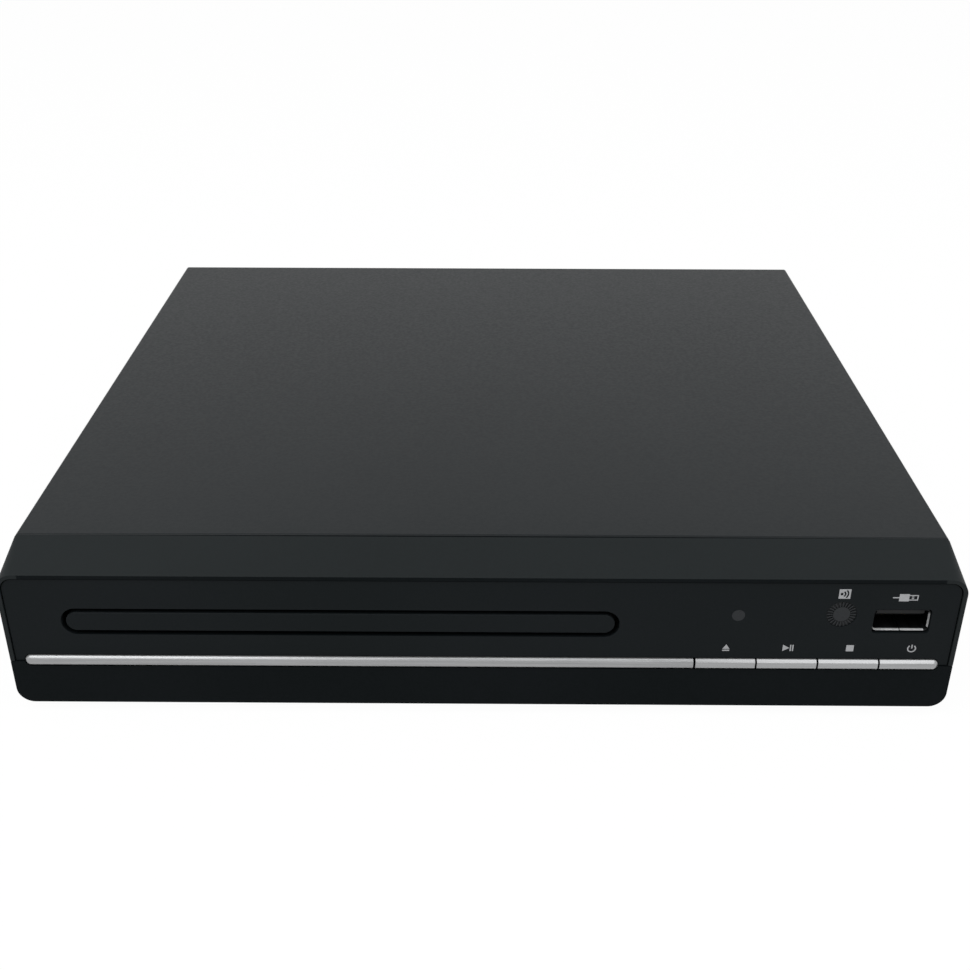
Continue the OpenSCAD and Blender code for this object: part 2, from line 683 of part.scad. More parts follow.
module chassis() color([0.62, 0.63, 0.64]) at_face() difference() {
    union() {
        block(-pan_w / 2 + 4, pan_w / 2 - 4, carrier_y + seam, bevel_d + seam + eps, pan_z, pan_top);
        block(-pan_w / 2, pan_w / 2, bevel_d + seam, panel_y, pan_z, pan_top);
        both_sides() block(pan_w / 2 - pan_t, pan_w / 2, bevel_d + 5, panel_y, pan_z, pan_z + 12);
        for (p = board_posts) post(p[0], p[1], pan_top - eps, board_z, 2.6);
        for (y = foot_y) both_sides() post(foot_x, y, pan_top - eps, pan_top + 1, 4);
    }
    for (i = [0 : 15], row = [62, 92]) translate([slot_x - 52 + i * 7, row, pan_z - cut])
        linear_extrude(pan_t + 2 * cut) rotate(90) stadium(18, 2.4);
    for (i = [0 : 6], row = [54, 84]) translate([bay_x + 14 + i * (bay_w - 22) / 6, row, pan_z - cut])
        linear_extrude(pan_t + 2 * cut) rotate(90) stadium(18, 2.4);
    for (p = board_posts) post(p[0], p[1], pan_z - cut, board_z + cut, 1.1);
    for (y = loader_fix_y, x = [-1, 1])
        post(slot_x + x * loader_fix_x, y, pan_z - cut, pan_top + cut, screw_hole_r);
    for (x = [-1, 1], y = foot_y) post(x * foot_x, y, pan_z - cut, pan_top + 1 + cut, 2);
    for (x = skirt_screw_x) post(x, skirt_screw_y, pan_z - cut, pan_top + cut, screw_hole_r);
    for (x = tab_x) post(x, tab_y, pan_z - cut, pan_top + cut, screw_hole_r);
    both_sides() for (y = side_screw_y)
        rod_x(y, side_screw_z, pan_w / 2 - 3, pan_w / 2 + cut, screw_hole_r);
}

scart_w = 48;
scart_h = 17;
video_w = 15.2;
video_h = 6;
inlet_w = 21;
inlet_h = 12;
socket_z = board_top + 9;
inlet_z = board_top + 7.5;
phono_z = [board_top + 5.2, board_top + 5.2 + phono_pitch];
phono_collar_r = phono_r + 0.7;
phono_collar_t = 0.8;
phono_cols = [phono_x - phono_pitch / 2, phono_x + phono_pitch / 2];

module rear_panel() color([0.16, 0.165, 0.17]) at_face() difference() {
    union() {
        along_y(panel_y, panel_y + pan_t)
            translate([0, (pan_top + top_z - cover_t - seam) / 2])
                square([pan_w - 1, top_z - cover_t - seam - pan_top], center = true);
        for (x = tab_x)
            block(x - tab_w / 2, x + tab_w / 2, tab_y - 3.5, panel_y + eps, pan_top, pan_top + pan_t);
    }
    along_y(panel_y - cut, panel_y + pan_t + cut) {
        translate([scart_x, socket_z]) round_rect(scart_w + 0.4, scart_h + 0.4, 1);
        translate([video_x, board_top + video_h / 2 + 0.4]) round_rect(video_w + 0.4, video_h + 0.4, 0.8);
        translate([inlet_x, inlet_z]) round_rect(inlet_w + 0.4, inlet_h + 0.4, 1);
        for (i = [0 : 9]) translate([phono_x + 30 + i * (inlet_x - phono_x - 44) / 9, top_z - 15])
            rotate(90) stadium(10, 1.8);
    }
    for (x = phono_cols, z = phono_z)
        rod_y(x, z, panel_y - cut, panel_y + pan_t + cut, phono_collar_r + 0.2);
    for (x = rear_screw_x) rod_y(x, rear_screw_z, panel_y - cut, panel_y + pan_t + cut, screw_hole_r);
    for (x = tab_x) post(x, tab_y, pan_top - cut, pan_top + 2, screw_hole_r);
    for (x = [scart_x - scart_w / 2 - 4, scart_x + scart_w / 2 + 4])
        rod_y(x, socket_z, panel_y - cut, panel_y + pan_t + cut, screw_hole_r);
}

module feet() color([0.09, 0.09, 0.09]) at_face()
for (x = [-foot_x, foot_x], y = foot_y) translate([x, y, 0])
    rotate_extrude() polygon([[0, 0], [6.2, 0], [7, 0.8], [7.6, pan_z - 0.6], [7, pan_z], [1.9, pan_z],
        [1.9, pan_top + 1], [2.8, pan_top + 1.1], [1.2, pan_top + 1.9], [0, pan_top + 1.9]]);

module cover_screws() color([0.2, 0.2, 0.21]) at_face() {
    for (y = side_screw_y) {
        translate([cover_w / 2, y, side_screw_z]) rotate([0, 90, 0]) screw(side_screw_l);
        translate([-cover_w / 2, y, side_screw_z]) rotate([0, -90, 0]) screw(side_screw_l);
    }
    for (x = rear_screw_x) translate([x, body_d, rear_screw_z]) rotate([-90, 0, 0]) screw(6);
}

module inner_screws() color([0.75, 0.72, 0.6]) at_face() {
    for (x = [-1, 1], y = loader_fix_y)
        translate([slot_x + x * loader_fix_x, y, loader_floor]) screw(loader_screw_l);
    for (x = skirt_screw_x) translate([x, skirt_screw_y, pan_top]) screw(skirt_screw_l);
    for (x = tab_x) translate([x, tab_y, pan_top + pan_t]) screw(2.5);
    for (x = [scart_x - scart_w / 2 - 4, scart_x + scart_w / 2 + 4])
        translate([x, panel_y + pan_t, socket_z]) rotate([-90, 0, 0]) screw(5);
}

// ---------- loader ----------

bridge_y0 = disc_y - 13;
bridge_y1 = disc_y + 13;
bridge_t = 1;
clamp_z = tray_top + 1.4;
clamp_neck_r = 8.5;
clamp_fix_x = loader_w / 2 - 4;
clamp_fix_y = [disc_y - 8, disc_y + 8];

module loader_rail() {
    block(loader_w / 2 - 9, loader_w / 2, loader_y, loader_back, loader_z, loader_floor);
    block(loader_w / 2 - 2, loader_w / 2, loader_y, loader_back, loader_z, deck_z);
    block(deck_x, loader_w / 2, loader_y, loader_back, deck_z - deck_t, deck_z);
    block(tray_w / 2 + guide_gap, tray_w / 2 + guide_gap + loader_wall, loader_y, loader_back,
        deck_z - eps, rail_top + tab_t);
    for (y = [loader_y + 2, disc_y + 32, loader_back - 30])
        block(tray_w / 2 - 1.6, tray_w / 2 + guide_gap + loader_wall, y, y + 6, rail_top, rail_top + tab_t);
    for (y = clamp_fix_y) post(clamp_fix_x, y, deck_z - eps, loader_top, 3);
    for (y = [30, 90, 150])
        block(loader_w / 2 - 6, loader_w / 2, y, y + 1.5, loader_floor - eps, deck_z - deck_t + eps);
}

module loader_frame() color([0.13, 0.13, 0.14]) at_loader() difference() {
    union() {
        both_sides() loader_rail();
        block(-loader_w / 2, loader_w / 2, loader_y, cross_y + cross_t, loader_z, loader_floor);
        block(-loader_w / 2 + 1, loader_w / 2 - 1, cross_y, cross_y + cross_t, loader_z, deck_z - 0.4);
        block(-loader_w / 2, loader_w / 2, pivot_y + 4, loader_back, loader_z, loader_floor);
        block(-loader_w / 2 + 1, loader_w / 2 - 1, loader_back - 2, loader_back,
            loader_z, rail_top + tab_t);
        both_sides()
            block(plate_w / 2 + 2, plate_w / 2 + 6, pivot_y - 4, pivot_y + 8,
                loader_floor - eps, pivot_z + 4);
        both_sides()
            block(plate_w / 2 + 2, plate_w / 2 + 10, pivot_y + 3, pivot_y + 8, loader_z, loader_floor + 2);
        post(drive_x, gear_y, loader_floor - eps, pinion_z + pinion_t + 0.1, shaft_r);
        post(pulley_x, gear_y, loader_floor - eps, pulley_z + pulley_t, shaft_r);
        for (g = guide_pins) rod_y(g[0], g[1], cross_y + cross_t - eps, cam_y + cam_t + 1, pin_r);
        for (x = [motor_x - 11.6, motor_x + 10.6])
            block(x, x + 1, gear_y - 8, gear_y + 8, loader_floor - eps, loader_floor + 9);
    }
    both_sides() rod_x(pivot_y, pivot_z, plate_w / 2, plate_w / 2 + 7, trunnion_r + shaft_fit);
    for (x = [-1, 1], y = loader_fix_y)
        post(x * loader_fix_x, y, loader_z - cut, loader_floor + cut, screw_hole_r);
    both_sides() for (y = clamp_fix_y) post(clamp_fix_x, y, loader_top - 5, loader_top + cut, 1.2);
}

module disc_tray() color([0.1, 0.1, 0.105]) at_loader() difference() {
    union() {
        difference() {
            block(-tray_w / 2, tray_w / 2, tray_y, tray_y + tray_l, tray_z, tray_top);
            block(-tray_w / 2 + tray_wall, tray_w / 2 - tray_wall,
                tray_y + tray_wall, tray_y + tray_l - tray_wall,
                tray_z - cut, pocket_top);
        }
        post(0, disc_y, small_well_z - tray_floor, tray_top - eps, small_well_r + tray_floor);
        translate([rack_line_x, gear_y, tray_z])
            linear_extrude(pocket_top - tray_z + eps) polygon(rack_points(rack_m, -3, rack_last));
        block(-pickup_slot_w / 2 - 1.5, pickup_slot_w / 2 + 1.5, disc_y, disc_y + slot_end + 1.5,
            tray_z, tray_top - eps);
        post(0, disc_y, tray_z, tray_top - eps, pickup_slot_w / 2 + 1.5);
        for (y = [disc_y - 45, disc_y, disc_y + 45])
            block(-tray_w / 2 + 1, drive_x - pinion_r - 3, y - 0.6, y + 0.6, tray_z + 1, pocket_top + eps);
    }
    post(0, disc_y, well_z, tray_top + cut, well_r);
    post(0, disc_y, small_well_z, tray_top + cut, small_well_r);
    post(0, disc_y, tray_z - cut, tray_top + cut, pickup_slot_w / 2);
    block(-pickup_slot_w / 2, pickup_slot_w / 2, disc_y, disc_y + slot_end - slot_corner_r,
        tray_z - cut, tray_top + cut);
    block(slot_corner_r - pickup_slot_w / 2, pickup_slot_w / 2 - slot_corner_r, disc_y, disc_y + slot_end,
        tray_z - cut, tray_top + cut);
    both_sides() post(pickup_slot_w / 2 - slot_corner_r, disc_y + slot_end - slot_corner_r,
        tray_z - cut, tray_top + cut, slot_corner_r);
    for (x = [-1, 1], y = [-1, 1]) post(x * 50, disc_y + y * 50, well_z, tray_top + cut, 11);
}

rack_last = ceil((tray_travel + 9) / (PI * rack_m));

module tray_door() color([0.09, 0.1, 0.105]) at_loader()
    along_y(face_inset, tray_y) translate([0, slot_mid])
        stadium(slot_l - 2 * door_gap, slot_h - 2 * door_gap);

module clamp_bridge() color([0.7, 0.71, 0.72]) at_loader() difference() {
    union() {
        block(-loader_w / 2, loader_w / 2, bridge_y0, bridge_y1, loader_top, loader_top + bridge_t);
        for (y = [bridge_y0, bridge_y1 - bridge_t])
            block(-loader_w / 2 + 10, loader_w / 2 - 10, y, y + bridge_t, loader_top, loader_top + 3);
    }
    post(0, disc_y, loader_top - cut, loader_top + bridge_t + cut, clamp_neck_r + 0.6);
    both_sides() {
        for (y = clamp_fix_y)
            post(clamp_fix_x, y, loader_top - cut, loader_top + bridge_t + cut, screw_hole_r);
        post(40, disc_y, loader_top - cut, loader_top + bridge_t + cut, 6);
    }
}

flange_z = loader_top + bridge_t + 0.4;

// The clamp hangs in the bridge by its upper flange
module disc_clamp() color([0.86, 0.86, 0.84]) at_loader() translate([0, disc_y, 0])
    rotate_extrude() polygon([[0, clamp_z + 0.8], [7.6, clamp_z + 0.8], [7.6, clamp_z], [13, clamp_z],
        [13, clamp_z + 1.4], [clamp_neck_r, clamp_z + 1.6], [clamp_neck_r, flange_z], [11.5, flange_z],
        [11.5, flange_z + 1.2], [5, flange_z + 1.2], [5, flange_z + 0.6], [0, flange_z + 0.6]]);

guide_pins = [[-36, pan_top + 6.5], [34, pan_top + 13]];
slot_r = pin_r + run_gap;

// Slot in the cam plate from one pin place to another
module cam_slot(x0, z0, x1, z1) along_y(cam_y - cut, cam_y + cam_t + cut)
    translate([(x0 + x1) / 2, (z0 + z1) / 2]) rotate(atan2(z1 - z0, x1 - x0))
        stadium(norm([x1 - x0, z1 - z0]) + 2 * slot_r, 2 * slot_r);

module cam_slider() color([0.88, 0.87, 0.84]) at_loader() difference() {
    block(run_gap - deck_x, 37.5, cam_y, cam_y + cam_t, pan_top + 2.4, deck_z - 0.4);
    for (x = [-pin_x, pin_x]) cam_slot(x, pin_low, x - cam_travel, pin_z);
    for (g = guide_pins) cam_slot(g[0], g[1], g[0] - cam_travel, g[1]);
}

// ---------- traverse, drawn raised and then lowered about its hinge ----------

module lowered() translate([0, pivot_y, pivot_z]) rotate([tilt, 0, 0])
translate([0, -pivot_y, -pivot_z]) children();

module traverse_base() color([0.55, 0.56, 0.57]) at_loader() lowered() difference() {
    union() {
        block(-plate_w / 2, plate_w / 2, plate_y, pivot_y + 1.5, plate_z, plate_top);
        block(plate_w / 2 - eps, sled_motor_x + 8, sled_gear_y - 9, sled_gear_y + 9, plate_z, plate_top);
        block(-plate_w / 2, plate_w / 2, plate_y, plate_y + 1.5, plate_z, pin_z + pin_r + 0.4);
        both_sides() block(plate_w / 2 - 1.5, plate_w / 2, plate_y, rod_y0 + 2, plate_z, plate_top + 2.5);
        for (x = [-pin_x, pin_x]) rod_y(x, pin_z, pin_y0, plate_y + eps, pin_r);
        both_sides() rod_x(pivot_y, pivot_z, plate_w / 2 - 4, plate_w / 2 + 5.7, trunnion_r);
        both_sides() for (y = [rod_y0, rod_y1 - bracket_t])
            block(rod_x - 2.7, rod_x + 2.7, y, y + bracket_t, plate_top - eps, rod_z + 2.3);
    }
    block(-20, 20, disc_y + turntable_r, rod_y1 - 6, plate_z - cut, plate_top + cut);
    both_sides() rod_y(rod_x, rod_z, rod_y0 - cut, rod_y1 + cut, rod_r);
    post(sled_gear_x, sled_gear_y, plate_z - cut, plate_top + cut, shaft_r + shaft_fit);
    post(sled_motor_x, sled_gear_y, plate_z - cut, plate_top + cut, 2);
}

module guide_rods() color([0.8, 0.81, 0.82]) at_loader() lowered() both_sides()
    rod_y(rod_x, rod_z, rod_y0, rod_y1, rod_r);

module spindle_motor() color([0.5, 0.51, 0.52]) at_loader() lowered() difference() {
    union() {
        post(0, disc_y, plate_top, motor_top, motor_r);
        post(0, disc_y, plate_top, plate_top + 1, motor_r + 1.4);
    }
    post(0, disc_y, plate_top + 0.6, motor_top + cut, 1 + shaft_fit);
}

module turntable() color([0.18, 0.18, 0.19]) at_loader() lowered() translate([0, disc_y, 0])
    rotate_extrude() polygon([[0, plate_top + 1], [1, plate_top + 1], [1, motor_top + 0.3],
        [3, motor_top + 0.3], [3, seat_z - 2.6], [turntable_r - 1, seat_z - 2.6],
        [turntable_r, seat_z - 1.6], [turntable_r, seat_z], [7.4, seat_z], [7.2, seat_z + 0.6],
        [6.2, seat_z + hub_h], [2.4, seat_z + hub_h], [2.4, seat_z + 0.4], [0, seat_z + 0.4]]);

module pickup_sled() color([0.3, 0.31, 0.33]) at_loader() lowered() translate([0, sled_y, 0]) difference() {
    union() {
        block(-sled_w / 2, sled_w / 2, -sled_half, sled_half, plate_top + 0.3, sled_top);
        block(-14, 14, -9, 9, plate_z - 2.5, sled_top);
        block(-10, 10, -9, 9, sled_top - eps, lens_z - 0.8);
        block(sled_w / 2 - eps, sled_w / 2 + 1.3, -sled_travel / 2 - 2.5, sled_travel / 2 + 2.5,
            rod_z - 0.5, rod_z + 1.5);
        translate([sled_rack_x, sled_travel / 2, rod_z - 0.5]) linear_extrude(2) mirror([1, 0])
            polygon(rack_points(sled_m, -ceil((sled_travel + 2) / (PI * sled_m)), 0));
    }
    both_sides() rod_y(rod_x, rod_z, -sled_half - cut, sled_half + cut, rod_r + shaft_fit);
    both_sides() block(17, 20, -8, 8, rod_z, sled_top + cut);
    post(0, -lens_start, plate_z - 3, lens_z, motor_r + 2);
}

module objective_lens() color([0.6, 0.65, 0.75]) at_loader() lowered() translate([0, sled_y, 0]) {
    block(-5, 5, -4, 4, lens_z, lens_z + 0.8);
    rotate_extrude() polygon([[0, lens_z + 0.4], [2.6, lens_z + 0.4], [2.6, lens_z + 0.9],
        [1.8, lens_z + 1.2], [0, lens_z + 1.3]]);
}

module sled_motor() color([0.72, 0.73, 0.74]) at_loader() lowered() difference() {
    post(sled_motor_x, sled_gear_y, plate_top, plate_top + 4.6, 6.5);
    post(sled_motor_x, sled_gear_y, plate_top - cut, plate_top + 3, 0.75 + shaft_fit);
}

sled_gear_z = plate_z - 1.9;
sled_gear_t = 1.5;

module sled_pinion() color([0.85, 0.7, 0.35]) at_loader() lowered()
translate([sled_motor_x, sled_gear_y, 0]) {
    translate([0, 0, sled_gear_z]) gear(sled_wheel_m, sled_pinion_n, sled_gear_t, 180 / sled_pinion_n);
    post(0, 0, sled_gear_z, plate_top + 2.8, 0.75);
}

module sled_gear() color([0.9, 0.89, 0.86]) at_loader() lowered() translate([sled_gear_x, sled_gear_y, 0]) {
    translate([0, 0, sled_gear_z]) gear(sled_wheel_m, sled_wheel_n, sled_gear_t);
    post(0, 0, sled_gear_z, rod_z + 1.5, shaft_r);
    translate([0, 0, rod_z - 0.5]) gear(sled_m, sled_pinion_n, 2);
}

// ---------- tray drive ----------

module drive_gear() color([0.92, 0.91, 0.88]) at_loader() translate([drive_x, gear_y, 0]) difference() {
    union() {
        translate([0, 0, gear_z]) gear(gear_m, wheel_n, wheel_t);
        post(0, 0, gear_z, pinion_z + eps, hub_r);
        translate([0, 0, pinion_z]) gear(rack_m, pinion_n, pinion_t);
    }
    post(0, 0, gear_z - cut, pinion_z + pinion_t + cut, shaft_r + shaft_fit);
    for (a = [0 : 60 : 300]) rotate(a + 30) post(9, 0, gear_z - cut, gear_z + wheel_t + cut, 2.4);
}

belt_z = pulley_z + pulley_t / 2;

// Grooved wheel standing on z = 0
module pulley(groove_r, rim) rotate_extrude() polygon([[0, 0], [groove_r + rim, 0], [groove_r + rim, 0.4],
    [groove_r, 0.8], [groove_r, pulley_t - 0.8], [groove_r + rim, pulley_t - 0.4],
    [groove_r + rim, pulley_t], [0, pulley_t]]);

module pulley_gear() color([0.92, 0.91, 0.88]) at_loader() translate([pulley_x, gear_y, 0]) difference() {
    union() {
        translate([0, 0, gear_z]) gear(gear_m, small_n, wheel_t, 180 / small_n);
        post(0, 0, gear_z, pulley_z + eps, 3.4);
        translate([0, 0, pulley_z]) pulley(pulley_r, pulley_rim);
    }
    post(0, 0, gear_z - cut, pulley_z + pulley_t + cut, shaft_r + shaft_fit);
    for (a = [0 : 72 : 288]) rotate(a) post(7.5, 0, pulley_z - cut, pulley_z + pulley_t + cut, 2.4);
}

module loading_motor() color([0.66, 0.67, 0.68]) at_loader() translate([motor_x, gear_y, 0]) difference() {
    union() {
        intersection() {
            post(0, 0, loader_floor, pulley_z - 1, 10);
            block(-10, 10, -7.6, 7.6, loader_floor, pulley_z);
        }
        post(0, 0, pulley_z - 1 - eps, pulley_z - 0.4, 3);
    }
    post(0, 0, loader_floor + 4, pulley_z + cut, 1 + shaft_fit);
}

module motor_pulley() color([0.9, 0.75, 0.35]) at_loader() translate([motor_x, gear_y, 0]) {
    translate([0, 0, pulley_z]) pulley(motor_pulley_r, pulley_rim);
    post(0, 0, loader_floor + 4.4, pulley_z + eps, 1);
}

belt_d = pulley_x - motor_x;
belt_small = motor_pulley_r + belt_fit;
belt_large = pulley_r + belt_fit;
belt_turn = acos((belt_small - belt_large) / belt_d);
arc_steps = 12;

// Outline of the belt at a distance outside its inner face: an arc round each pulley
function belt_points(out) = concat(
    [for (k = [-arc_steps : arc_steps]) [belt_d, 0] + polar(belt_large + out, belt_turn * k / arc_steps)],
    [for (k = [-arc_steps : arc_steps]) polar(belt_small + out, 180 + (180 - belt_turn) * k / arc_steps)]);

module drive_belt() color([0.08, 0.08, 0.08]) at_loader() translate([motor_x, gear_y, belt_z - 0.55])
    linear_extrude(1.1) difference() {
        polygon(belt_points(belt_t));
        polygon(belt_points(0));
    }

module damper_bushes() color([0.2, 0.2, 0.2]) at_loader() for (x = [-1, 1], y = loader_fix_y) difference() {
    post(x * loader_fix_x, y, pan_top, loader_z, 3.6);
    post(x * loader_fix_x, y, pan_top - cut, loader_z + cut, screw_hole_r + 0.3);
}

// ---------- electronics ----------

// Each chip's place, width, depth and height
chips = [[bay_x + wing_w / 2, wing_y0 + 32, 20, 20, 1.6], [bay_x + 24, main_y0 - 6, 14, 9, 1.2],
    [bay_x + 12, main_y0 + 7, 9, 12, 1.2], [-12, main_y0 + 8, 12, 8, 1.2],
    [main_x0 + 12, main_y0 + 8, 8, 6, 1.4]];

module main_board() color([0.1, 0.32, 0.18]) at_face() difference() {
    union() {
        block(main_x0, bay_x + wing_w, main_y0, panel_y - 1, board_z, board_top);
        block(bay_x, bay_x + wing_w, wing_y0, panel_y - 1, board_z, board_top);
    }
    for (p = main_posts) post(p[0], p[1], board_z - cut, board_top + cut, 1.3);
}

module board_chips() color([0.08, 0.08, 0.09]) at_face() for (c = chips)
    block(c[0] - c[2] / 2, c[0] + c[2] / 2, c[1] - c[3] / 2, c[1] + c[3] / 2, board_top, board_top + c[4]);

module power_board() color([0.62, 0.5, 0.28]) at_face() difference() {
    block(bay_x, bay_x + bay_w, bay_y0, bay_y1, board_z, board_top);
    for (p = power_posts) post(p[0], p[1], board_z - cut, board_top + cut, 1.3);
}

power_x = bay_x + bay_w / 2;
power_y = (bay_y0 + bay_y1) / 2;

module transformer() color([0.75, 0.68, 0.3]) at_face()
translate([power_x + 0.09 * bay_w, power_y + 1, board_top]) {
    block(-10, 10, -11, 11, 0, 3);
    block(-10, 10, -11, 11, 15, 18);
    block(-7, 7, -8, 8, 3 - eps, 15 + eps);
    block(-11, 11, -5, 5, 1, 17);
}

// Place across the bay as a share of its width, place along the board, radius and height
cap_list = [[-0.28, 25, 8, 20], [-0.03, 27, 4, 12], [0.14, 27, 4, 12], [0.31, -15, 4, 11],
    [-0.31, -17, 3, 8], [-0.19, -17, 3, 8]];

module capacitors() color([0.16, 0.2, 0.3]) at_face() for (c = cap_list)
    translate([power_x + c[0] * bay_w, power_y + c[1], board_top]) rotate_extrude()
        polygon([[0, 0], [c[2], 0], [c[2], 1.2], [c[2] - 0.5, 1.8], [c[2], 2.4], [c[2], c[3] - 0.6],
            [c[2] - 0.6, c[3]], [0, c[3]]]);

sink_w = 16;
sink_h = 20;
fin_l = 7;
fin_t = 1.2;

module heat_sink() color([0.8, 0.81, 0.82]) at_face()
translate([power_x - 0.28 * bay_w, power_y - 29, board_top]) {
    block(-sink_w / 2, sink_w / 2, -0.8, 0.8, 0, sink_h);
    for (i = [-2 : 2]) block(i * 3.6 - fin_t / 2, i * 3.6 + fin_t / 2, -fin_l, 0, 0, sink_h);
}

module scart_socket() color([0.12, 0.12, 0.13]) at_face() translate([scart_x, 0, socket_z]) difference() {
    union() {
        along_y(panel_y - 12, panel_y + pan_t + 1) round_rect(scart_w, scart_h, 1);
        along_y(panel_y - 1.2, panel_y - seam) round_rect(scart_w + 14, scart_h, 1);
        block(-scart_w / 2, scart_w / 2, panel_y - 12, panel_y - 2, board_top - socket_z, 0);
    }
    along_y(panel_y + pan_t - 1.5, panel_y + pan_t + 1 + cut) difference() {
        round_rect(scart_w - 1.6, scart_h - 1.6, 0.8);
        round_rect(scart_w - 5, scart_h - 5, 0.8);
    }
    for (i = [0 : 9], row = [-1, 1])
        translate([-18.5 + i * 3.8 + row * 0.95, panel_y + pan_t - 2, row * 3.2])
        cube([1.1, 6.1, 4], center = true);
    for (x = [-1, 1]) rod_y(x * (scart_w / 2 + 4), 0, panel_y - 2, panel_y, screw_r);
}

module video_socket() color([0.76, 0.77, 0.78]) at_face()
translate([video_x, 0, board_top + video_h / 2 + 0.4]) {
    difference() {
        along_y(panel_y - 10, panel_y + pan_t + 0.4) union() {
            round_rect(video_w, video_h - 1.6, 0.3);
            translate([0, 0.8]) round_rect(video_w, video_h - 1.6, 0.3);
            round_rect(video_w - 3, video_h, 0.3);
        }
        along_y(panel_y - 8, panel_y + pan_t + 2) {
            translate([0, 0.6]) square([video_w - 1, video_h - 2.4], center = true);
            square([video_w - 4, video_h - 1], center = true);
        }
        block(-video_w, video_w, panel_y - 11, panel_y + 2, -video_h, -video_h / 2 - 0.4);
    }
    block(-video_w / 2 + 2.4, video_w / 2 - 2.4, panel_y - 8.5, panel_y - 1, -0.4, 0.8);
    block(-video_w / 2, video_w / 2, panel_y - 9, panel_y - 3, -video_h / 2 - 0.4, -video_h / 2 + 0.4);
}

module phono_jacks() color([0.82, 0.8, 0.72]) at_face() difference() {
    union() {
        block(phono_cols[0] - 6.5, phono_cols[1] + 6.5, panel_y - 11, panel_y - seam,
            board_top, phono_z[1] + 6.5);
        for (x = phono_cols, z = phono_z) {
            rod_y(x, z, panel_y - 1, panel_y + pan_t + phono_collar_t, phono_collar_r);
            rod_y(x, z, panel_y - 1, panel_y + pan_t + phono_l, phono_r);
        }
    }
    for (x = phono_cols, z = phono_z) rod_y(x, z, panel_y - 4, panel_y + pan_t + phono_l + cut, 1.65);
}

// Figure-of-eight inlet: two joined round wells with a pin in each
inlet_well_r = 4.3;
inlet_well_w = 15.8;
inlet_depth = 11;
inlet_pin_x = 4.3;
module mains_inlet() color([0.1, 0.1, 0.1]) at_face() translate([inlet_x, 0, inlet_z]) {
    difference() {
        union() {
            along_y(panel_y - 16, panel_y + pan_t + 1) round_rect(inlet_w, inlet_h, 1);
            along_y(panel_y - 1.2, panel_y - seam) round_rect(inlet_w + 6, inlet_h + 3, 1);
        }
        along_y(panel_y + pan_t - inlet_depth, panel_y + pan_t + 1 + cut)
            stadium(inlet_well_w, 2 * inlet_well_r);
    }
    for (x = [-1, 1])
        rod_y(x * inlet_pin_x, 0, panel_y + pan_t - inlet_depth - eps, panel_y + pan_t - 1.5, 1.2);
}

ribbon_t = 0.3;
ribbon_z = pan_top + 0.2;
ribbon_up = loader_back + 0.8;            // where the pickup's ribbon goes up, behind the loader
panel_ribbon_up = bay_y1 + 1.2;           // and the front board's between the two boards
module ribbon_cables() color([0.85, 0.85, 0.82]) at_face() {
    along_x(slot_x - 10, slot_x + 10) union() {
        translate([pivot_y - 2, ribbon_z]) square([ribbon_up + ribbon_t - pivot_y + 2, ribbon_t]);
        translate([ribbon_up, ribbon_z]) square([ribbon_t, board_top - pan_top + 0.8]);
        translate([ribbon_up, board_top + 0.7]) square([8, ribbon_t]);
    }
    block(slot_x - 12, slot_x + 12, ribbon_up + 7, ribbon_up + 11, board_top, board_top + 2.4);
    along_x(bay_x + 8, bay_x + 22) union() {
        translate([front_board_y + board_t + 0.2, ribbon_z]) square([ribbon_t, 5]);
        translate([front_board_y + board_t + 0.2, ribbon_z])
            square([panel_ribbon_up - front_board_y - board_t, ribbon_t]);
        translate([panel_ribbon_up, ribbon_z]) square([ribbon_t, board_top - pan_top + 0.8]);
        translate([panel_ribbon_up, board_top + 0.7]) square([10, ribbon_t]);
    }
    block(bay_x + 7, bay_x + 23, wing_y0 + 3, wing_y0 + 7, board_top, board_top + 2.4);
}

// Two insulated wires from the inlet to the power board, each with one bend
wire_r = 0.9;
wire_bend = 3;
wire_y = bay_y1 - 3;
module mains_wires() color([0.35, 0.2, 0.1]) at_face()
for (x = [-1, 1]) translate([inlet_x + x * inlet_pin_x, 0, 0]) {
    rod_y(0, inlet_z, wire_y + wire_bend, panel_y - 16, wire_r);
    post(0, wire_y, board_top, inlet_z - wire_bend, wire_r);
    translate([0, wire_y + wire_bend, inlet_z - wire_bend]) rotate([90, 0, 90]) rotate(90)
        rotate_extrude(angle = 90) translate([wire_bend, 0]) circle(wire_r);
}

front_skirt();
front_hood();
fascia_plate();
trim_strip();
eject_button();
play_button();
stop_button();
standby_button();
switch_bodies();
eject_plunger();
play_plunger();
stop_plunger();
standby_plunger();
led_window();
ir_window();
status_led();
ir_receiver();
usb_socket();
usb_tongue();
usb_board();
front_board();
top_cover();
chassis();
rear_panel();
feet();
cover_screws();
inner_screws();
loader_frame();
disc_tray();
tray_door();
clamp_bridge();
disc_clamp();
cam_slider();
traverse_base();
guide_rods();
spindle_motor();
turntable();
pickup_sled();
objective_lens();
sled_motor();
sled_pinion();
sled_gear();
loading_motor();
motor_pulley();
drive_belt();
pulley_gear();
drive_gear();
damper_bushes();
main_board();
board_chips();
power_board();
transformer();
capacitors();
heat_sink();
scart_socket();
video_socket();
phono_jacks();
mains_inlet();
ribbon_cables();
mains_wires();
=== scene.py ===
# %% [markdown]
# # A compact disc player, dressed
# The solids of the player come from the CAD model and stay where they are. This lesson gives them
# softened edges, real finishes and the small things that a solid model leaves out: printed marks,
# contacts, chip legs and the parts on the boards.

# %% Load the frame
import json
import math
import random

import bmesh
import bpy
from mathutils import Matrix, Vector

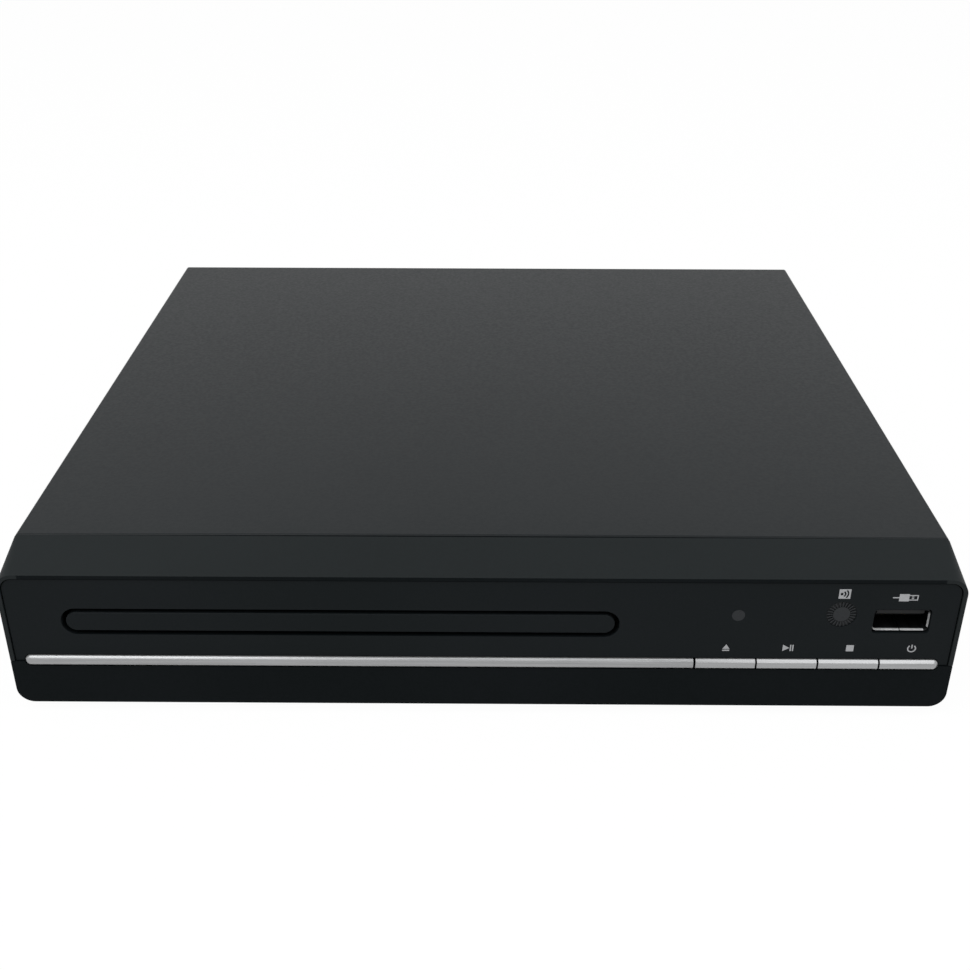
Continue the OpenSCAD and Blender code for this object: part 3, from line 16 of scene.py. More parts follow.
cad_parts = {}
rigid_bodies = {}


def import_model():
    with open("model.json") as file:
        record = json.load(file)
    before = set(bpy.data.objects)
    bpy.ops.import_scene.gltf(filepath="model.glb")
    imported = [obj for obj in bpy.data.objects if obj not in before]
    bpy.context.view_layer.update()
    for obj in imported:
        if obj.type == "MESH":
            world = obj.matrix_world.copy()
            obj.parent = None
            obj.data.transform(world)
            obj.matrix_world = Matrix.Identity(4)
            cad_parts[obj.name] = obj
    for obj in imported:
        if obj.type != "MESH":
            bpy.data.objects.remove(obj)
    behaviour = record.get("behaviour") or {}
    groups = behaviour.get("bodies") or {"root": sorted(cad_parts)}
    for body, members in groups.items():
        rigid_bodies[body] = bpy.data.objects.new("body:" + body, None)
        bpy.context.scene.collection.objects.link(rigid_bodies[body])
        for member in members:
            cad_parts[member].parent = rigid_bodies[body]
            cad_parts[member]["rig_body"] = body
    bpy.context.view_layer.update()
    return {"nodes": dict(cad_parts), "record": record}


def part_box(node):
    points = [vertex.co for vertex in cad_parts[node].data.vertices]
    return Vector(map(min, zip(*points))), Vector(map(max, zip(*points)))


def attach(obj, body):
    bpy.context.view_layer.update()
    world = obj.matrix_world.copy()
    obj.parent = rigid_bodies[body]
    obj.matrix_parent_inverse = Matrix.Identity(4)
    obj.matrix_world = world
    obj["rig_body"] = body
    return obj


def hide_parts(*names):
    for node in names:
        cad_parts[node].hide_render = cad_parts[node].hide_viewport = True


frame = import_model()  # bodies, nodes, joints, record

MM = 0.001
STRIP_PROUD = 0.5 * MM
FRONT_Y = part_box("trim_strip")[0].y + STRIP_PROUD

# %% [markdown]
# ## Places on the player
# A maker's drawing counts depths back from the front face, in millimetres, and so does this lesson.
# Most places are read from the solids themselves, and the rest are written as such millimetres.


# %% Places
WELD = 0.002 * MM


def at(x, depth, z):
    """A point from millimetres: x from the middle, depth behind the front face, z above the table."""
    return Vector((x * MM, FRONT_Y + depth * MM, z * MM))


def merged(node):
    """A CAD node's mesh as one welded bmesh."""
    bm = bmesh.new()
    bm.from_mesh(frame["nodes"][node].data)
    bmesh.ops.remove_doubles(bm, verts=bm.verts, dist=WELD)
    return bm


def solids(node):
    """The box of each separate solid of a CAD node, from left to right."""
    bm, boxes, seen = merged(node), [], set()
    for start in bm.verts:
        if start in seen:
            continue
        group, queue = [], [start]
        seen.add(start)
        while queue:
            vert = queue.pop()
            group.append(vert.co.copy())
            for edge in vert.link_edges:
                other = edge.other_vert(vert)
                if other not in seen:
                    seen.add(other)
                    queue.append(other)
        boxes.append((Vector([min(c[i] for c in group) for i in range(3)]),
                      Vector([max(c[i] for c in group) for i in range(3)])))
    bm.free()
    return sorted(boxes, key=lambda b: (round(b[0].x, 4), b[0].z))


print("chips:", len(solids("board_chips")), "capacitors:", len(solids("capacitors")))

# %% [markdown]
# ## One way to add a shader node
# A finish is a small tree of nodes. One function adds a node, sets it up and wires it, so that each
# finish below reads as a list of what it is made of.


# %% Add a node
def linear(code):
    """An sRGB hex value as the linear colour that the shader works in."""
    parts = [int(code[i:i + 2], 16) / 255 for i in (1, 3, 5)]
    return [p / 12.92 if p <= 0.04045 else ((p + 0.055) / 1.055) ** 2.4 for p in parts] + [1.0]


def add(tree, kind, links=None, **settings):
    """Adds one node. links gives its input sockets a value or another node's output."""
    node = tree.nodes.new(kind)
    for name, value in settings.items():
        setattr(node, name, value)
    for key, value in (links or {}).items():
        if isinstance(value, bpy.types.NodeSocket):
            tree.links.new(value, node.inputs[key])
        else:
            node.inputs[key].default_value = value
    return node


def blank(name):
    """A new material with an empty tree."""
    material = bpy.data.materials.new(name)
    material.use_nodes = True
    material.node_tree.nodes.clear()
    return material, material.node_tree


print("mid grey #808080 is", round(linear("#808080")[0], 3), "as a linear value")

# %% [markdown]
# ## Moulded, painted and rubber surfaces
# Injection moulding, powder coating and rubber all leave a faint grain and a slow drift of tone. One
# recipe serves them: a slow noise and a fine noise mix two close tones, and the fine noise also
# varies the roughness and raises the grain. A grain finer than about 0.5 mm would vanish in the
# picture, so the moulded grain, really 0.1 mm, is drawn at 0.5 mm or more.


# %% Grained finishes
# Nearly all values of one noise lie in the first span, and those of two noises added in the second.
ONE_NOISE = {"From Min": 0.3, "From Max": 0.7}
TWO_NOISES = {"From Min": 0.7, "From Max": 1.3}
GRAIN_SWING = 0.05


def grained(name, dark, light, rough, grain_mm=0.6, depth_mm=0.02, drift_mm=60, sheen=0.5):
    """A surface of two close tones with a fine grain. sheen is how strongly it mirrors."""
    material, tree = blank(name)
    place = add(tree, "ShaderNodeTexCoord").outputs["Object"]
    drift = add(tree, "ShaderNodeTexNoise", {"Vector": place, "Scale": 1 / (drift_mm * MM), "Detail": 3.0})
    grain = add(tree, "ShaderNodeTexNoise", {"Vector": place, "Scale": 1 / (grain_mm * MM), "Detail": 2.0})
    both = add(tree, "ShaderNodeMath", {0: drift.outputs[0], 1: grain.outputs[0]}, operation="ADD")
    share = add(tree, "ShaderNodeMapRange", {"Value": both.outputs[0], **TWO_NOISES})
    tone = add(tree, "ShaderNodeMix", {0: share.outputs[0], 6: linear(dark), 7: linear(light)},
               data_type="RGBA")
    gloss = add(tree, "ShaderNodeMapRange", {"Value": grain.outputs[0], **ONE_NOISE,
                                             "To Min": rough - GRAIN_SWING, "To Max": rough + GRAIN_SWING})
    bump = add(tree, "ShaderNodeBump", {"Height": grain.outputs[0], "Distance": depth_mm * MM})
    skin = add(tree, "ShaderNodeBsdfPrincipled", {
        "Base Color": tone.outputs[2], "Roughness": gloss.outputs[0], "Normal": bump.outputs[0],
        "Specular IOR Level": sheen})
    add(tree, "ShaderNodeOutputMaterial", {"Surface": skin.outputs[0]})
    return material


# Each line holds the name, the dark and the light tone and the roughness, then in millimetres the
# grain, its height and the drift, and last the sheen.
FINISH = {
    # Powder coating over sheet steel: a satin skin with a soft pebble that spreads every reflection.
    "cover": grained("satin_powder_coated_steel", "#101416", "#14181A", 0.42, 0.9, 0.012, 60, 0.13),
    # Injection-moulded ABS from a spark-eroded tool: dull, so that the slope is one soft tone. It is the
    # face plate's plastic in lighter tones: painted light on the slope, which faces up to the lamps.
    "hood": grained("spark_grained_abs_painted_lighter", "#161A1B", "#1A1E1F", 0.5, 0.6, 0.01, 60, 0.09),
    # The same plastic from a smoother tool, drawn darker than the slope: painted shade on the upright face,
    # which gets less light.
    "face": grained("fine_grained_abs_painted_darker", "#121617", "#16191B", 0.42, 0.5, 0.004, 60, 0.04),
    # The skirt's own dark plastic. The same finish is painted shade on the front of the lip, the walls of
    # the tray's slot and the flat ends of the buttons and the strip, and dark ink on one mark.
    "skirt": grained("dark_abs_and_painted_shade", "#0B0F10", "#101315", 0.48, 0.6, 0.008, 60, 0.025),
    # Black ABS inside, never polished: the tray, the loader frame and the sockets.
    "black": grained("black_tray_abs", "#121314", "#18191A", 0.45, 0.7, 0.01, 40, 0.2),
    # Natural acetal for gears and slides: waxy and slightly see-through at its edges.
    "acetal": grained("natural_acetal", "#D9D6CC", "#E6E3DA", 0.38, 0.8, 0.006, 20),
    "mark": grained("pad_printed_ink", "#8A8B8D", "#98999B", 0.6, 0.5, 0.002, 5),
    # Nitrile rubber: no clear reflection at all, with bloom that greys it in patches.
    "rubber": grained("moulded_nitrile_rubber", "#151515", "#232322", 0.75, 0.7, 0.02, 12),
    # Transfer-moulded epoxy of the chips, matt with a fine filler.
    "epoxy": grained("moulded_chip_epoxy", "#1A1A1C", "#232325", 0.6, 0.5, 0.006, 8),
    "phenolic": grained("phenolic_paper_board", "#9A7038", "#AB8047", 0.5, 0.8, 0.01, 25),
    "tape": grained("polyester_winding_tape", "#B9962F", "#CBAA45", 0.3, 0.9, 0.01, 12),
    "red": grained("red_jack_insulator", "#A3181C", "#B52024", 0.35, 0.6, 0.005, 8),
    "white": grained("white_jack_insulator", "#D8D8D4", "#E6E6E2", 0.35, 0.6, 0.005, 8),
    "yellow": grained("yellow_jack_insulator", "#D2A913", "#E0B81E", 0.35, 0.6, 0.005, 8),
    "orange": grained("orange_jack_insulator", "#C8561A", "#D66526", 0.35, 0.6, 0.005, 8),
    # Sintered manganese-zinc ferrite, dark and slightly grainy.
    "ferrite": grained("sintered_ferrite", "#26272A", "#323338", 0.55, 0.7, 0.01, 10),
    "brown": grained("brown_pvc_insulation", "#4A2A18", "#5A3521", 0.4, 0.5, 0.006, 15),
}
print("grained finishes:", ", ".join(m.name for m in FINISH.values()))

# %% [markdown]
# ## Metals
# Rolled, drawn and plated metal carries lines along the way it was worked. A noise stretched along
# that way gives the lines, which shift the tone a little and streak the reflection.


# %% Worked metals
LINE_SWING = 0.06


def worked(name, dark, light, rough, along=0, line_mm=0.4, run_mm=15, depth_mm=0.003, metallic=1.0):
    """A metal with fine lines along one axis: 0 is x, 1 is y, 2 is z."""
    material, tree = blank(name)
    place = add(tree, "ShaderNodeTexCoord").outputs["Object"]
    sizes = [1 / (line_mm * MM)] * 3
    sizes[along] = 1 / (run_mm * MM)
    stretched = add(tree, "ShaderNodeMapping", {"Vector": place, "Scale": sizes}, vector_type="POINT")
    lines = add(tree, "ShaderNodeTexNoise", {"Vector": stretched.outputs[0], "Scale": 1.0, "Detail": 2.0})
    share = add(tree, "ShaderNodeMapRange", {"Value": lines.outputs[0], **ONE_NOISE})
    tone = add(tree, "ShaderNodeMix", {0: share.outputs[0], 6: linear(dark), 7: linear(light)},
               data_type="RGBA")
    gloss = add(tree, "ShaderNodeMapRange", {"Value": lines.outputs[0], **ONE_NOISE,
                                             "To Min": rough - LINE_SWING, "To Max": rough + LINE_SWING})
    bump = add(tree, "ShaderNodeBump", {"Height": lines.outputs[0], "Distance": depth_mm * MM})
    skin = add(tree, "ShaderNodeBsdfPrincipled", {
        "Base Color": tone.outputs[2], "Roughness": gloss.outputs[0], "Normal": bump.outputs[0],
        "Metallic": metallic})
    add(tree, "ShaderNodeOutputMaterial", {"Surface": skin.outputs[0]})
    return material


# Each line holds the name, the two tones and the roughness, the axis of the lines, their spacing,
# length and height in millimetres, and how metallic it is.
FINISH.update({
    # Metallic lacquer on ABS: fine flake in a clear coat, brushed along the strip by the spray.
    "silver": worked("silver_lacquered_abs", "#8A8B8C", "#979899", 0.27, 0, 0.5, 30, 0.002, 0.6),
    # The buttons are drawn a little lighter than the strip.
    "button": worked("silver_lacquered_button", "#919293", "#9E9FA0", 0.24, 0, 0.5, 30, 0.002, 0.6),
    # Zinc-plated sheet steel: grey and cloudy, with faint rolling lines.
    "zinc": worked("zinc_plated_steel", "#9A9C9E", "#B2B4B5", 0.4, 1, 0.8, 40),
    "nickel": worked("nickel_plated_steel", "#C4C2BC", "#D6D4CE", 0.25, 1, 0.5, 10),
    "blackened": worked("black_oxide_steel", "#1D1E20", "#2A2B2D", 0.4, 2, 0.5, 3, 0.003, 0.7),
    "passivated": worked("yellow_passivated_steel", "#B7A36A", "#CDBB84", 0.35, 2, 0.5, 3),
    "aluminium": worked("extruded_aluminium", "#C9CBCD", "#D9DBDD", 0.35, 2, 0.5, 25),
    "cast": worked("die_cast_zinc", "#84878A", "#94979A", 0.45, 0, 1.0, 2, 0.01),
    # Painted shade: nickel inside the front socket mirrors only the dark around it, so it is drawn dark.
    "painted_shade_nickel": worked("nickel_in_painted_shade", "#1E1F20", "#2A2B2C", 0.45, 1, 0.5, 10),
    # The lit copy of the socket's nickel: painted light on the faces in the front socket that face the
    # light.
    "lit_nickel": worked("nickel_lit_copy", "#BEBFC0", "#CECFD0", 0.35, 1, 0.5, 10, metallic=0.5),
    "brass": worked("turned_brass", "#C2A35A", "#D3B670", 0.28, 0, 0.4, 4),
    "gold": worked("gold_flashed_contact", "#D8B25A", "#E5C274", 0.22, 1, 0.3, 6),
    "tin": worked("tinned_contact", "#B9BCBE", "#CACDCF", 0.3, 1, 0.3, 6),
})
print("metals:", ", ".join(m.name for m in FINISH.values() if m.name.endswith(("steel", "brass", "zinc"))))

# %% [markdown]
# ## Circuit boards
# A board is glass cloth under green solder mask. Its tracks show through as lighter lines at right
# angles, about 1.4 mm apart here, and its pads as small dots of solder.

# %% Solder mask
TRACK_MM, TRACK_RUN_MM, TRACK_WIDTH_MM, TRACK_HEIGHT = 1.4, 7.0, 0.16, 0.03 * MM
PAD_PITCH = 2.6 * MM
PAD_EDGE = {"From Min": 0.16, "From Max": 0.12}
FINISH["board"], tree = blank("green_solder_mask")
place = add(tree, "ShaderNodeTexCoord").outputs["Object"]
tracks = add(tree, "ShaderNodeTexBrick", {
    "Vector": place, "Scale": 1 / MM, "Color1": linear("#0E4A2A"), "Color2": linear("#12502E"),
    "Mortar": linear("#2A7A4A"), "Mortar Size": TRACK_WIDTH_MM, "Brick Width": TRACK_RUN_MM,
    "Row Height": TRACK_MM})
pads = add(tree, "ShaderNodeTexVoronoi", {"Vector": place, "Scale": 1 / PAD_PITCH})
dots = add(tree, "ShaderNodeMapRange", {"Value": pads.outputs["Distance"], **PAD_EDGE})
tone = add(tree, "ShaderNodeMix", {0: dots.outputs[0], 6: tracks.outputs["Color"], 7: linear("#B7BABC")},
           data_type="RGBA")
relief = add(tree, "ShaderNodeBump", {"Height": tracks.outputs["Fac"], "Distance": TRACK_HEIGHT})
mask = add(tree, "ShaderNodeBsdfPrincipled", {"Base Color": tone.outputs[2], "Roughness": 0.3,
                                              "Metallic": dots.outputs[0], "Normal": relief.outputs[0]})
add(tree, "ShaderNodeOutputMaterial", {"Surface": mask.outputs[0]})
print("board finish with tracks every", TRACK_MM, "mm")

# %% [markdown]
# ## Windows, lenses, cans and flat cable
# The status window is smoked acrylic and the remote window passes only infrared, so both look dark grey. The
# raised disc and ribs of the remote window catch more light than its sunk ground, so their tone is painted
# lighter: the depth behind the front face tells them apart.

# %% Windows and lenses
GROUND_MM, RIBS_MM = 0.55, 0.45
FINISH["window"], tree = blank("smoked_acrylic")
place = add(tree, "ShaderNodeTexCoord").outputs["Object"]
depth = add(tree, "ShaderNodeSeparateXYZ", {0: place})
# Painted light: the tone goes from the sunk ground's to the lighter ribs' by depth.
painted_light_on_ribs = add(tree, "ShaderNodeMapRange", {"Value": depth.outputs["Y"], "From Min": at(0, GROUND_MM, 0).y,
                                          "From Max": at(0, RIBS_MM, 0).y})
cloud = add(tree, "ShaderNodeTexNoise", {"Vector": place, "Scale": 1 / (1.5 * MM), "Detail": 2.0})
tone = add(tree, "ShaderNodeMix", {0: painted_light_on_ribs.outputs[0], 6: linear("#191B1D"), 7: linear("#26282A")},
           data_type="RGBA")
gloss = add(tree, "ShaderNodeMapRange", {"Value": cloud.outputs[0], "To Min": 0.2, "To Max": 0.4})
skin = add(tree, "ShaderNodeBsdfPrincipled", {"Base Color": tone.outputs[2], "Roughness": gloss.outputs[0],
                                              "Specular IOR Level": 0.12})
add(tree, "ShaderNodeOutputMaterial", {"Surface": skin.outputs[0]})

FINISH["lens"], tree = blank("moulded_clear_resin")
place = add(tree, "ShaderNodeTexCoord").outputs["Object"]
cloud = add(tree, "ShaderNodeTexNoise", {"Vector": place, "Scale": 1 / (1.2 * MM)})
gloss = add(tree, "ShaderNodeMapRange", {"Value": cloud.outputs[0], "To Min": 0.03, "To Max": 0.12})
skin = add(tree, "ShaderNodeBsdfPrincipled", {"Base Color": linear("#C9D3DC"), "Roughness": gloss.outputs[0],
                                              "Transmission Weight": 0.7, "IOR": 1.49})
add(tree, "ShaderNodeOutputMaterial", {"Surface": skin.outputs[0]})
print("clear parts:", FINISH["window"].name, "and", FINISH["lens"].name)

# %% [markdown]
# A capacitor is an aluminium can in a printed sleeve, open at the top: the faces that look up are
# metal. The flat cable has a conductor each millimetre under a white film.

# %% Cans and flat cable
LOOKS_UP = {"From Min": 0.85, "From Max": 0.95}
WIRE_PITCH, BAND_AT_SCALE_1 = 1.0 * MM, 0.314
FINISH["can"], tree = blank("sleeved_aluminium_can")
up = add(tree, "ShaderNodeSeparateXYZ", {0: add(tree, "ShaderNodeNewGeometry").outputs["Normal"]})
bare = add(tree, "ShaderNodeMapRange", {"Value": up.outputs["Z"], **LOOKS_UP})
place = add(tree, "ShaderNodeTexCoord").outputs["Object"]
cloud = add(tree, "ShaderNodeTexNoise", {"Vector": place, "Scale": 1 / (3 * MM)})
sleeve = add(tree, "ShaderNodeMix", {0: cloud.outputs[0], 6: linear("#1B2440"), 7: linear("#25304F")},
             data_type="RGBA")
tone = add(tree, "ShaderNodeMix", {0: bare.outputs[0], 6: sleeve.outputs[2], 7: linear("#C4C7CA")},
           data_type="RGBA")
skin = add(tree, "ShaderNodeBsdfPrincipled", {"Base Color": tone.outputs[2], "Metallic": bare.outputs[0],
                                              "Roughness": 0.3})
add(tree, "ShaderNodeOutputMaterial", {"Surface": skin.outputs[0]})

FINISH["ribbon"], tree = blank("polyester_flat_cable")
place = add(tree, "ShaderNodeTexCoord").outputs["Object"]
# A wave texture at scale 1 has a band every 0.314 m.
stripe = add(tree, "ShaderNodeTexWave", {"Vector": place, "Scale": BAND_AT_SCALE_1 / WIRE_PITCH},
             bands_direction="X")
tone = add(tree, "ShaderNodeMix", {0: stripe.outputs["Fac"], 6: linear("#B9BABA"), 7: linear("#E4E4E0")},
           data_type="RGBA")
skin = add(tree, "ShaderNodeBsdfPrincipled", {"Base Color": tone.outputs[2], "Roughness": 0.35})
add(tree, "ShaderNodeOutputMaterial", {"Surface": skin.outputs[0]})
print(len(FINISH), "finishes in all")

# %% [markdown]
# ## Finishes on the solids
# A solid whose shape is right keeps its own mesh and only gets its finish.

# %% Dress the solids
DRESS = {
    "cover": "top_cover rear_panel", "hood": "front_hood", "skirt": "front_skirt",
    "face": "fascia_plate tray_door", "silver": "trim_strip",
    "button": "eject_button play_button stop_button standby_button",
    "black": "switch_bodies usb_tongue loader_frame disc_tray turntable scart_socket mains_inlet",
    "acetal": "eject_plunger play_plunger stop_plunger standby_plunger disc_clamp cam_slider sled_gear"
              " pulley_gear drive_gear",
    "window": "led_window ir_window", "lens": "status_led objective_lens",
    "epoxy": "ir_receiver board_chips",
    "nickel": "usb_socket guide_rods sled_motor loading_motor video_socket phono_jacks",
    "zinc": "chassis clamp_bridge traverse_base", "aluminium": "heat_sink",
    "cast": "pickup_sled spindle_motor",
    "blackened": "cover_screws", "passivated": "inner_screws", "brass": "sled_pinion motor_pulley",
    "rubber": "feet drive_belt damper_bushes", "board": "usb_board front_board main_board",
    "phenolic": "power_board", "tape": "transformer", "can": "capacitors", "ribbon": "ribbon_cables",
    "brown": "mains_wires",
}
for finish, names in DRESS.items():
    for name in names.split():
        solid = frame["nodes"][name]
        if not solid.material_slots:
            solid.data.materials.append(FINISH[finish])
        for slot in solid.material_slots:
            slot.material = FINISH[finish]
undressed = set(frame["nodes"]) - {n for names in DRESS.values() for n in names.split()}
print("solids without a finish:", sorted(undressed) or "none")

# %% [markdown]
# ## Softened edges
# No moulding or folded sheet has a perfectly sharp edge: a radius of a few tenths of a millimetre
# catches the light as a fine line. A copy of the solid is welded, its flat faces are made whole, and
# a bevel rounds every edge that turns by more than 30 degrees. The copy then stands for the solid.

# %% Soften a solid
FLAT_WITHIN, ROUND_OVER, SMOOTH_UP_TO = (math.radians(degrees) for degrees in (0.5, 30, 35))
ROUND_STEPS = 2
SLOTS = {part["node"]: part["material_slot"] for part in frame["record"]["subparts"]}


def keep(piece, body, slot, *nodes):
    """Puts a finished piece on its body, in place of the nodes that it stands for. slot is not used."""
    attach(piece, body)
    if nodes:
        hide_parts(*nodes)
    return piece


def piece_from(name, bm, finish):
    """A new object from a bmesh, at the origin, with soft shading."""
    mesh = bpy.data.meshes.new(name)
    bm.to_mesh(mesh)
    bm.free()
    mesh.materials.append(finish)
    mesh.shade_smooth()
    mesh.set_sharp_from_angle(angle=SMOOTH_UP_TO)
    piece = bpy.data.objects.new(name, mesh)
    bpy.context.scene.collection.objects.link(piece)
    return piece


def flattened(node):
    """A CAD node's welded mesh, without the edges that lie in a flat face."""
    bm = merged(node)
    bmesh.ops.dissolve_limit(bm, angle_limit=FLAT_WITHIN, verts=bm.verts, edges=bm.edges)
    return bm


def rounded(piece, radius_mm):
    """Rounds the edges of a piece with a bevel."""
    edges = piece.modifiers.new("edges", "BEVEL")
    edges.width = radius_mm * MM
    edges.segments = ROUND_STEPS
    edges.limit_method = "ANGLE"
    edges.angle_limit = ROUND_OVER


def softened(node, name, radius_mm):
    """A copy of a node with its edges rounded, standing for that node."""
    solid = frame["nodes"][node]
    piece = piece_from(name, flattened(node), solid.material_slots[0].material)
    rounded(piece, radius_mm)
    return keep(piece, solid["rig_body"], SLOTS[node], node)


SOFT = {}
for node, name, radius in (("front_hood", "hood_moulding", 0.25), ("fascia_plate", "face_moulding", 0.12),
                           ("front_skirt", "skirt_moulding", 0.2), ("trim_strip", "strip_moulding", 0.2),
                           ("eject_button", "eject_cap", 0.2), ("play_button", "play_cap", 0.2),
                           ("stop_button", "stop_cap", 0.2), ("standby_button", "standby_cap", 0.2),
                           ("tray_door", "door_moulding", 0.2), ("disc_tray", "tray_moulding", 0.25),
                           ("top_cover", "cover_sheet", 0.2), ("rear_panel", "panel_sheet", 0.12),
                           ("chassis", "chassis_sheet", 0.12), ("feet", "foot_mouldings", 0.4),
                           ("turntable", "turntable_moulding", 0.15),
                           ("disc_clamp", "clamp_moulding", 0.2), ("clamp_bridge", "bridge_sheet", 0.15),
                           ("pickup_sled", "sled_casting", 0.2), ("heat_sink", "heat_sink_extrusion", 0.2),
                           ("board_chips", "chip_bodies", 0.15), ("scart_socket", "scart_moulding", 0.2),
                           ("mains_inlet", "inlet_moulding", 0.2),
                           ("transformer", "transformer_stack", 0.25), ("video_socket", "video_shell", 0.08),
                           ("switch_bodies", "switch_mouldings", 0.12)):
    SOFT[node] = softened(node, name, radius)
print(len(SOFT), "solids with softened edges")

# %% [markdown]
# Some solids stand for two materials: metal pins moulded into a plastic socket, or a winding on a ferrite
# core. Other faces get the skirt's dark finish as painted shade: the flat ends of the buttons and the strip
# in the gaps between them, the front of the lip over the face plate, and the walls of the tray's slot. Faces
# are told apart by where they lie and which way they look.


# %% Two materials in one piece
def split(piece, finish, chosen):
    """Gives one more finish to the faces that are chosen by their middle and their direction."""
    piece.data.materials.append(finish)
    for face in piece.data.polygons:
        if chosen(face.center, face.normal):
            face.material_index = len(piece.data.materials) - 1


def within(low, high):
    """A test for a point in a box, with a hair's breadth to spare."""
    hair = 0.05 * MM
    return lambda p, n: all(a - hair <= c <= b + hair for a, c, b in zip(low, p, high))


def sliced(piece, *places):
    """Cuts a piece's faces at planes across x, so that its ends can be told from its middle."""
    bm = bmesh.new()
    bm.from_mesh(piece.data)
    for x in places:
        everything = bm.verts[:] + bm.edges[:] + bm.faces[:]
        bmesh.ops.bisect_plane(bm, geom=everything, plane_co=(x, 0, 0), plane_no=(1, 0, 0))
    bm.to_mesh(piece.data)
    bm.free()


def middle(node):
    """The middle of a CAD node's box."""
    low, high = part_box(node)
    return (low + high) / 2


inlet, video, coil = middle("mains_inlet"), middle("video_socket"), middle("transformer")
# The two pins in the mains inlet.
PIN_X, PIN_R = 4.3 * MM, 1.3 * MM
PIN_FRONT, PIN_BACK = at(0, 193, 0).y, at(0, 202.9, 0).y
split(SOFT["mains_inlet"], FINISH["nickel"], lambda p, n: abs(p.z - inlet.z) < PIN_R
      and abs(abs(p.x - inlet.x) - PIN_X) < PIN_R and PIN_FRONT < p.y < PIN_BACK)
# The plastic tongue in the video socket.
BLADE_X, BLADE_UNDER, BLADE_OVER = 5.6 * MM, 1 * MM, 1.6 * MM
blade_low = Vector((video.x - BLADE_X, at(0, 194.2, 0).y, video.z - BLADE_UNDER))
blade_high = Vector((video.x + BLADE_X, at(0, 203, 0).y, video.z + BLADE_OVER))
split(SOFT["video_socket"], FINISH["black"], within(blade_low, blade_high))
# The flat ends of the buttons and the strip, but not the round ends of the row: painted shade in the gaps
# between them.
SQUARE, FLAT_ENDS = 0.99, 105 * MM
for node in ("eject_button", "play_button", "stop_button", "standby_button", "trim_strip"):
    split(SOFT[node], FINISH["skirt"], lambda p, n: abs(n.x) > SQUARE and abs(p.x) < FLAT_ENDS)
# The front of the lip over the face plate, drawn dark as painted shade over the seam.
LIP_END, LIP_BACK = 107 * MM, at(0, 0.05, 0).y
sliced(SOFT["front_hood"], -LIP_END, LIP_END)
split(SOFT["front_hood"], FINISH["skirt"], lambda p, n: n.y < -SQUARE and p.y < LIP_BACK
      and abs(p.x) < LIP_END)
# The walls of the tray's slot, drawn dark as painted shade, since they stay in the dark.
door_low, door_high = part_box("tray_door")
SLOT_GAP, SIDEWAYS = Vector((1, 5, 2)) * MM, 0.5
in_slot = within(door_low - SLOT_GAP, door_high + SLOT_GAP)
split(SOFT["fascia_plate"], FINISH["skirt"], lambda p, n: abs(n.y) < SIDEWAYS and in_slot(p, n))
# The core's legs on either side of the winding.
WINDING_X, CORE_Y = 7.1 * MM, 5.1 * MM
split(SOFT["transformer"], FINISH["ferrite"], lambda p, n: abs(p.x - coil.x) > WINDING_X
      and abs(p.y - coil.y) < CORE_Y)
print("pieces with two materials:", sum(len(piece.data.materials) > 1 for piece in SOFT.values()))

# %% [markdown]
# The folded cover springs a little. Its front edge is rolled over, and in the middle it bows back
# from the moulding, so that the seam is darker there than at the sides.

# %% The cover's front edge
ROLLED, ROLL_STEPS, BOW, BOW_STEPS = 0.5 * MM, 4, 0.6 * MM, 30
SHEET_T, HAIR = 0.7 * MM, 0.01 * MM
FLAT_AREA = 1000 * MM ** 2
sheet = SOFT["top_cover"].data
bm = bmesh.new()
bm.from_mesh(sheet)
front = min(v.co.y for v in bm.verts)
half, top = max(v.co.x for v in bm.verts), max(v.co.z for v in bm.verts)


def at_front(edge, test=lambda c: True):
    """Whether both ends of an edge lie at the sheet's front and pass a test."""
    return all(v.co.y < front + HAIR and test(v.co) for v in edge.verts)


across = [e for e in bm.edges if at_front(e) and e.calc_length() > half]
bmesh.ops.subdivide_edges(bm, edges=across, cuts=BOW_STEPS)
rim = [e for e in bm.edges if at_front(e, lambda c: abs(c.x) > half - SHEET_T + HAIR
                                       or c.z > top - SHEET_T + HAIR)]
for vert in bm.verts:
    if vert.co.y < front + HAIR:
        vert.co.y += BOW * (1 - (vert.co.x / half) ** 2)
bmesh.ops.bevel(bm, geom=rim, offset=ROLLED, segments=ROLL_STEPS, profile=0.5, affect="EDGES")
bm.to_mesh(sheet)
bm.free()
sheet.shade_smooth()
sheet.set_sharp_from_angle(angle=SMOOTH_UP_TO)
# A flat side keeps its own shading up to the roll.
flat = {key for face in sheet.polygons if face.area > FLAT_AREA for key in face.edge_keys}
for edge in sheet.edges:
    edge.use_edge_sharp = edge.use_edge_sharp or edge.key in flat
print(len(rim), "edges rolled along the front of the cover")

# %% [markdown]
# ## Printed marks
# The marks on the face plate are pad-printed: ink a few hundredths of a millimetre thick. Each is
# drawn as a flat outline in millimetres about its own middle and given the ink's thickness. Its back
# lies a hair inside the plate, so that no gap shows.

# %% Print
FACE_DEPTH, INK, SUNK = 0.3, 0.04, 0.01


def printed(name, x, z, outlines, ink="mark", slot="silver_plastic", layer=0):
    """A mark of ink on the face plate or on a lower layer, from closed outlines about (x, z)."""
    bm = bmesh.new()
    for outline in outlines:
        depth = FACE_DEPTH + SUNK - layer * INK
        back = bm.faces.new([bm.verts.new(at(x + u, depth, z + v)) for u, v in outline])
        lifted = bmesh.ops.extrude_face_region(bm, geom=[back])["geom"]
        for vert in (g for g in lifted if isinstance(g, bmesh.types.BMVert)):
            vert.co.y -= (INK + SUNK) * MM
    bmesh.ops.recalc_face_normals(bm, faces=bm.faces)
    return keep(piece_from(name, bm, FINISH[ink]), "housing", slot)


def bar(x0, x1, z0, z1):
    """A rectangle."""
    return [(x0, z0), (x1, z0), (x1, z1), (x0, z1)]


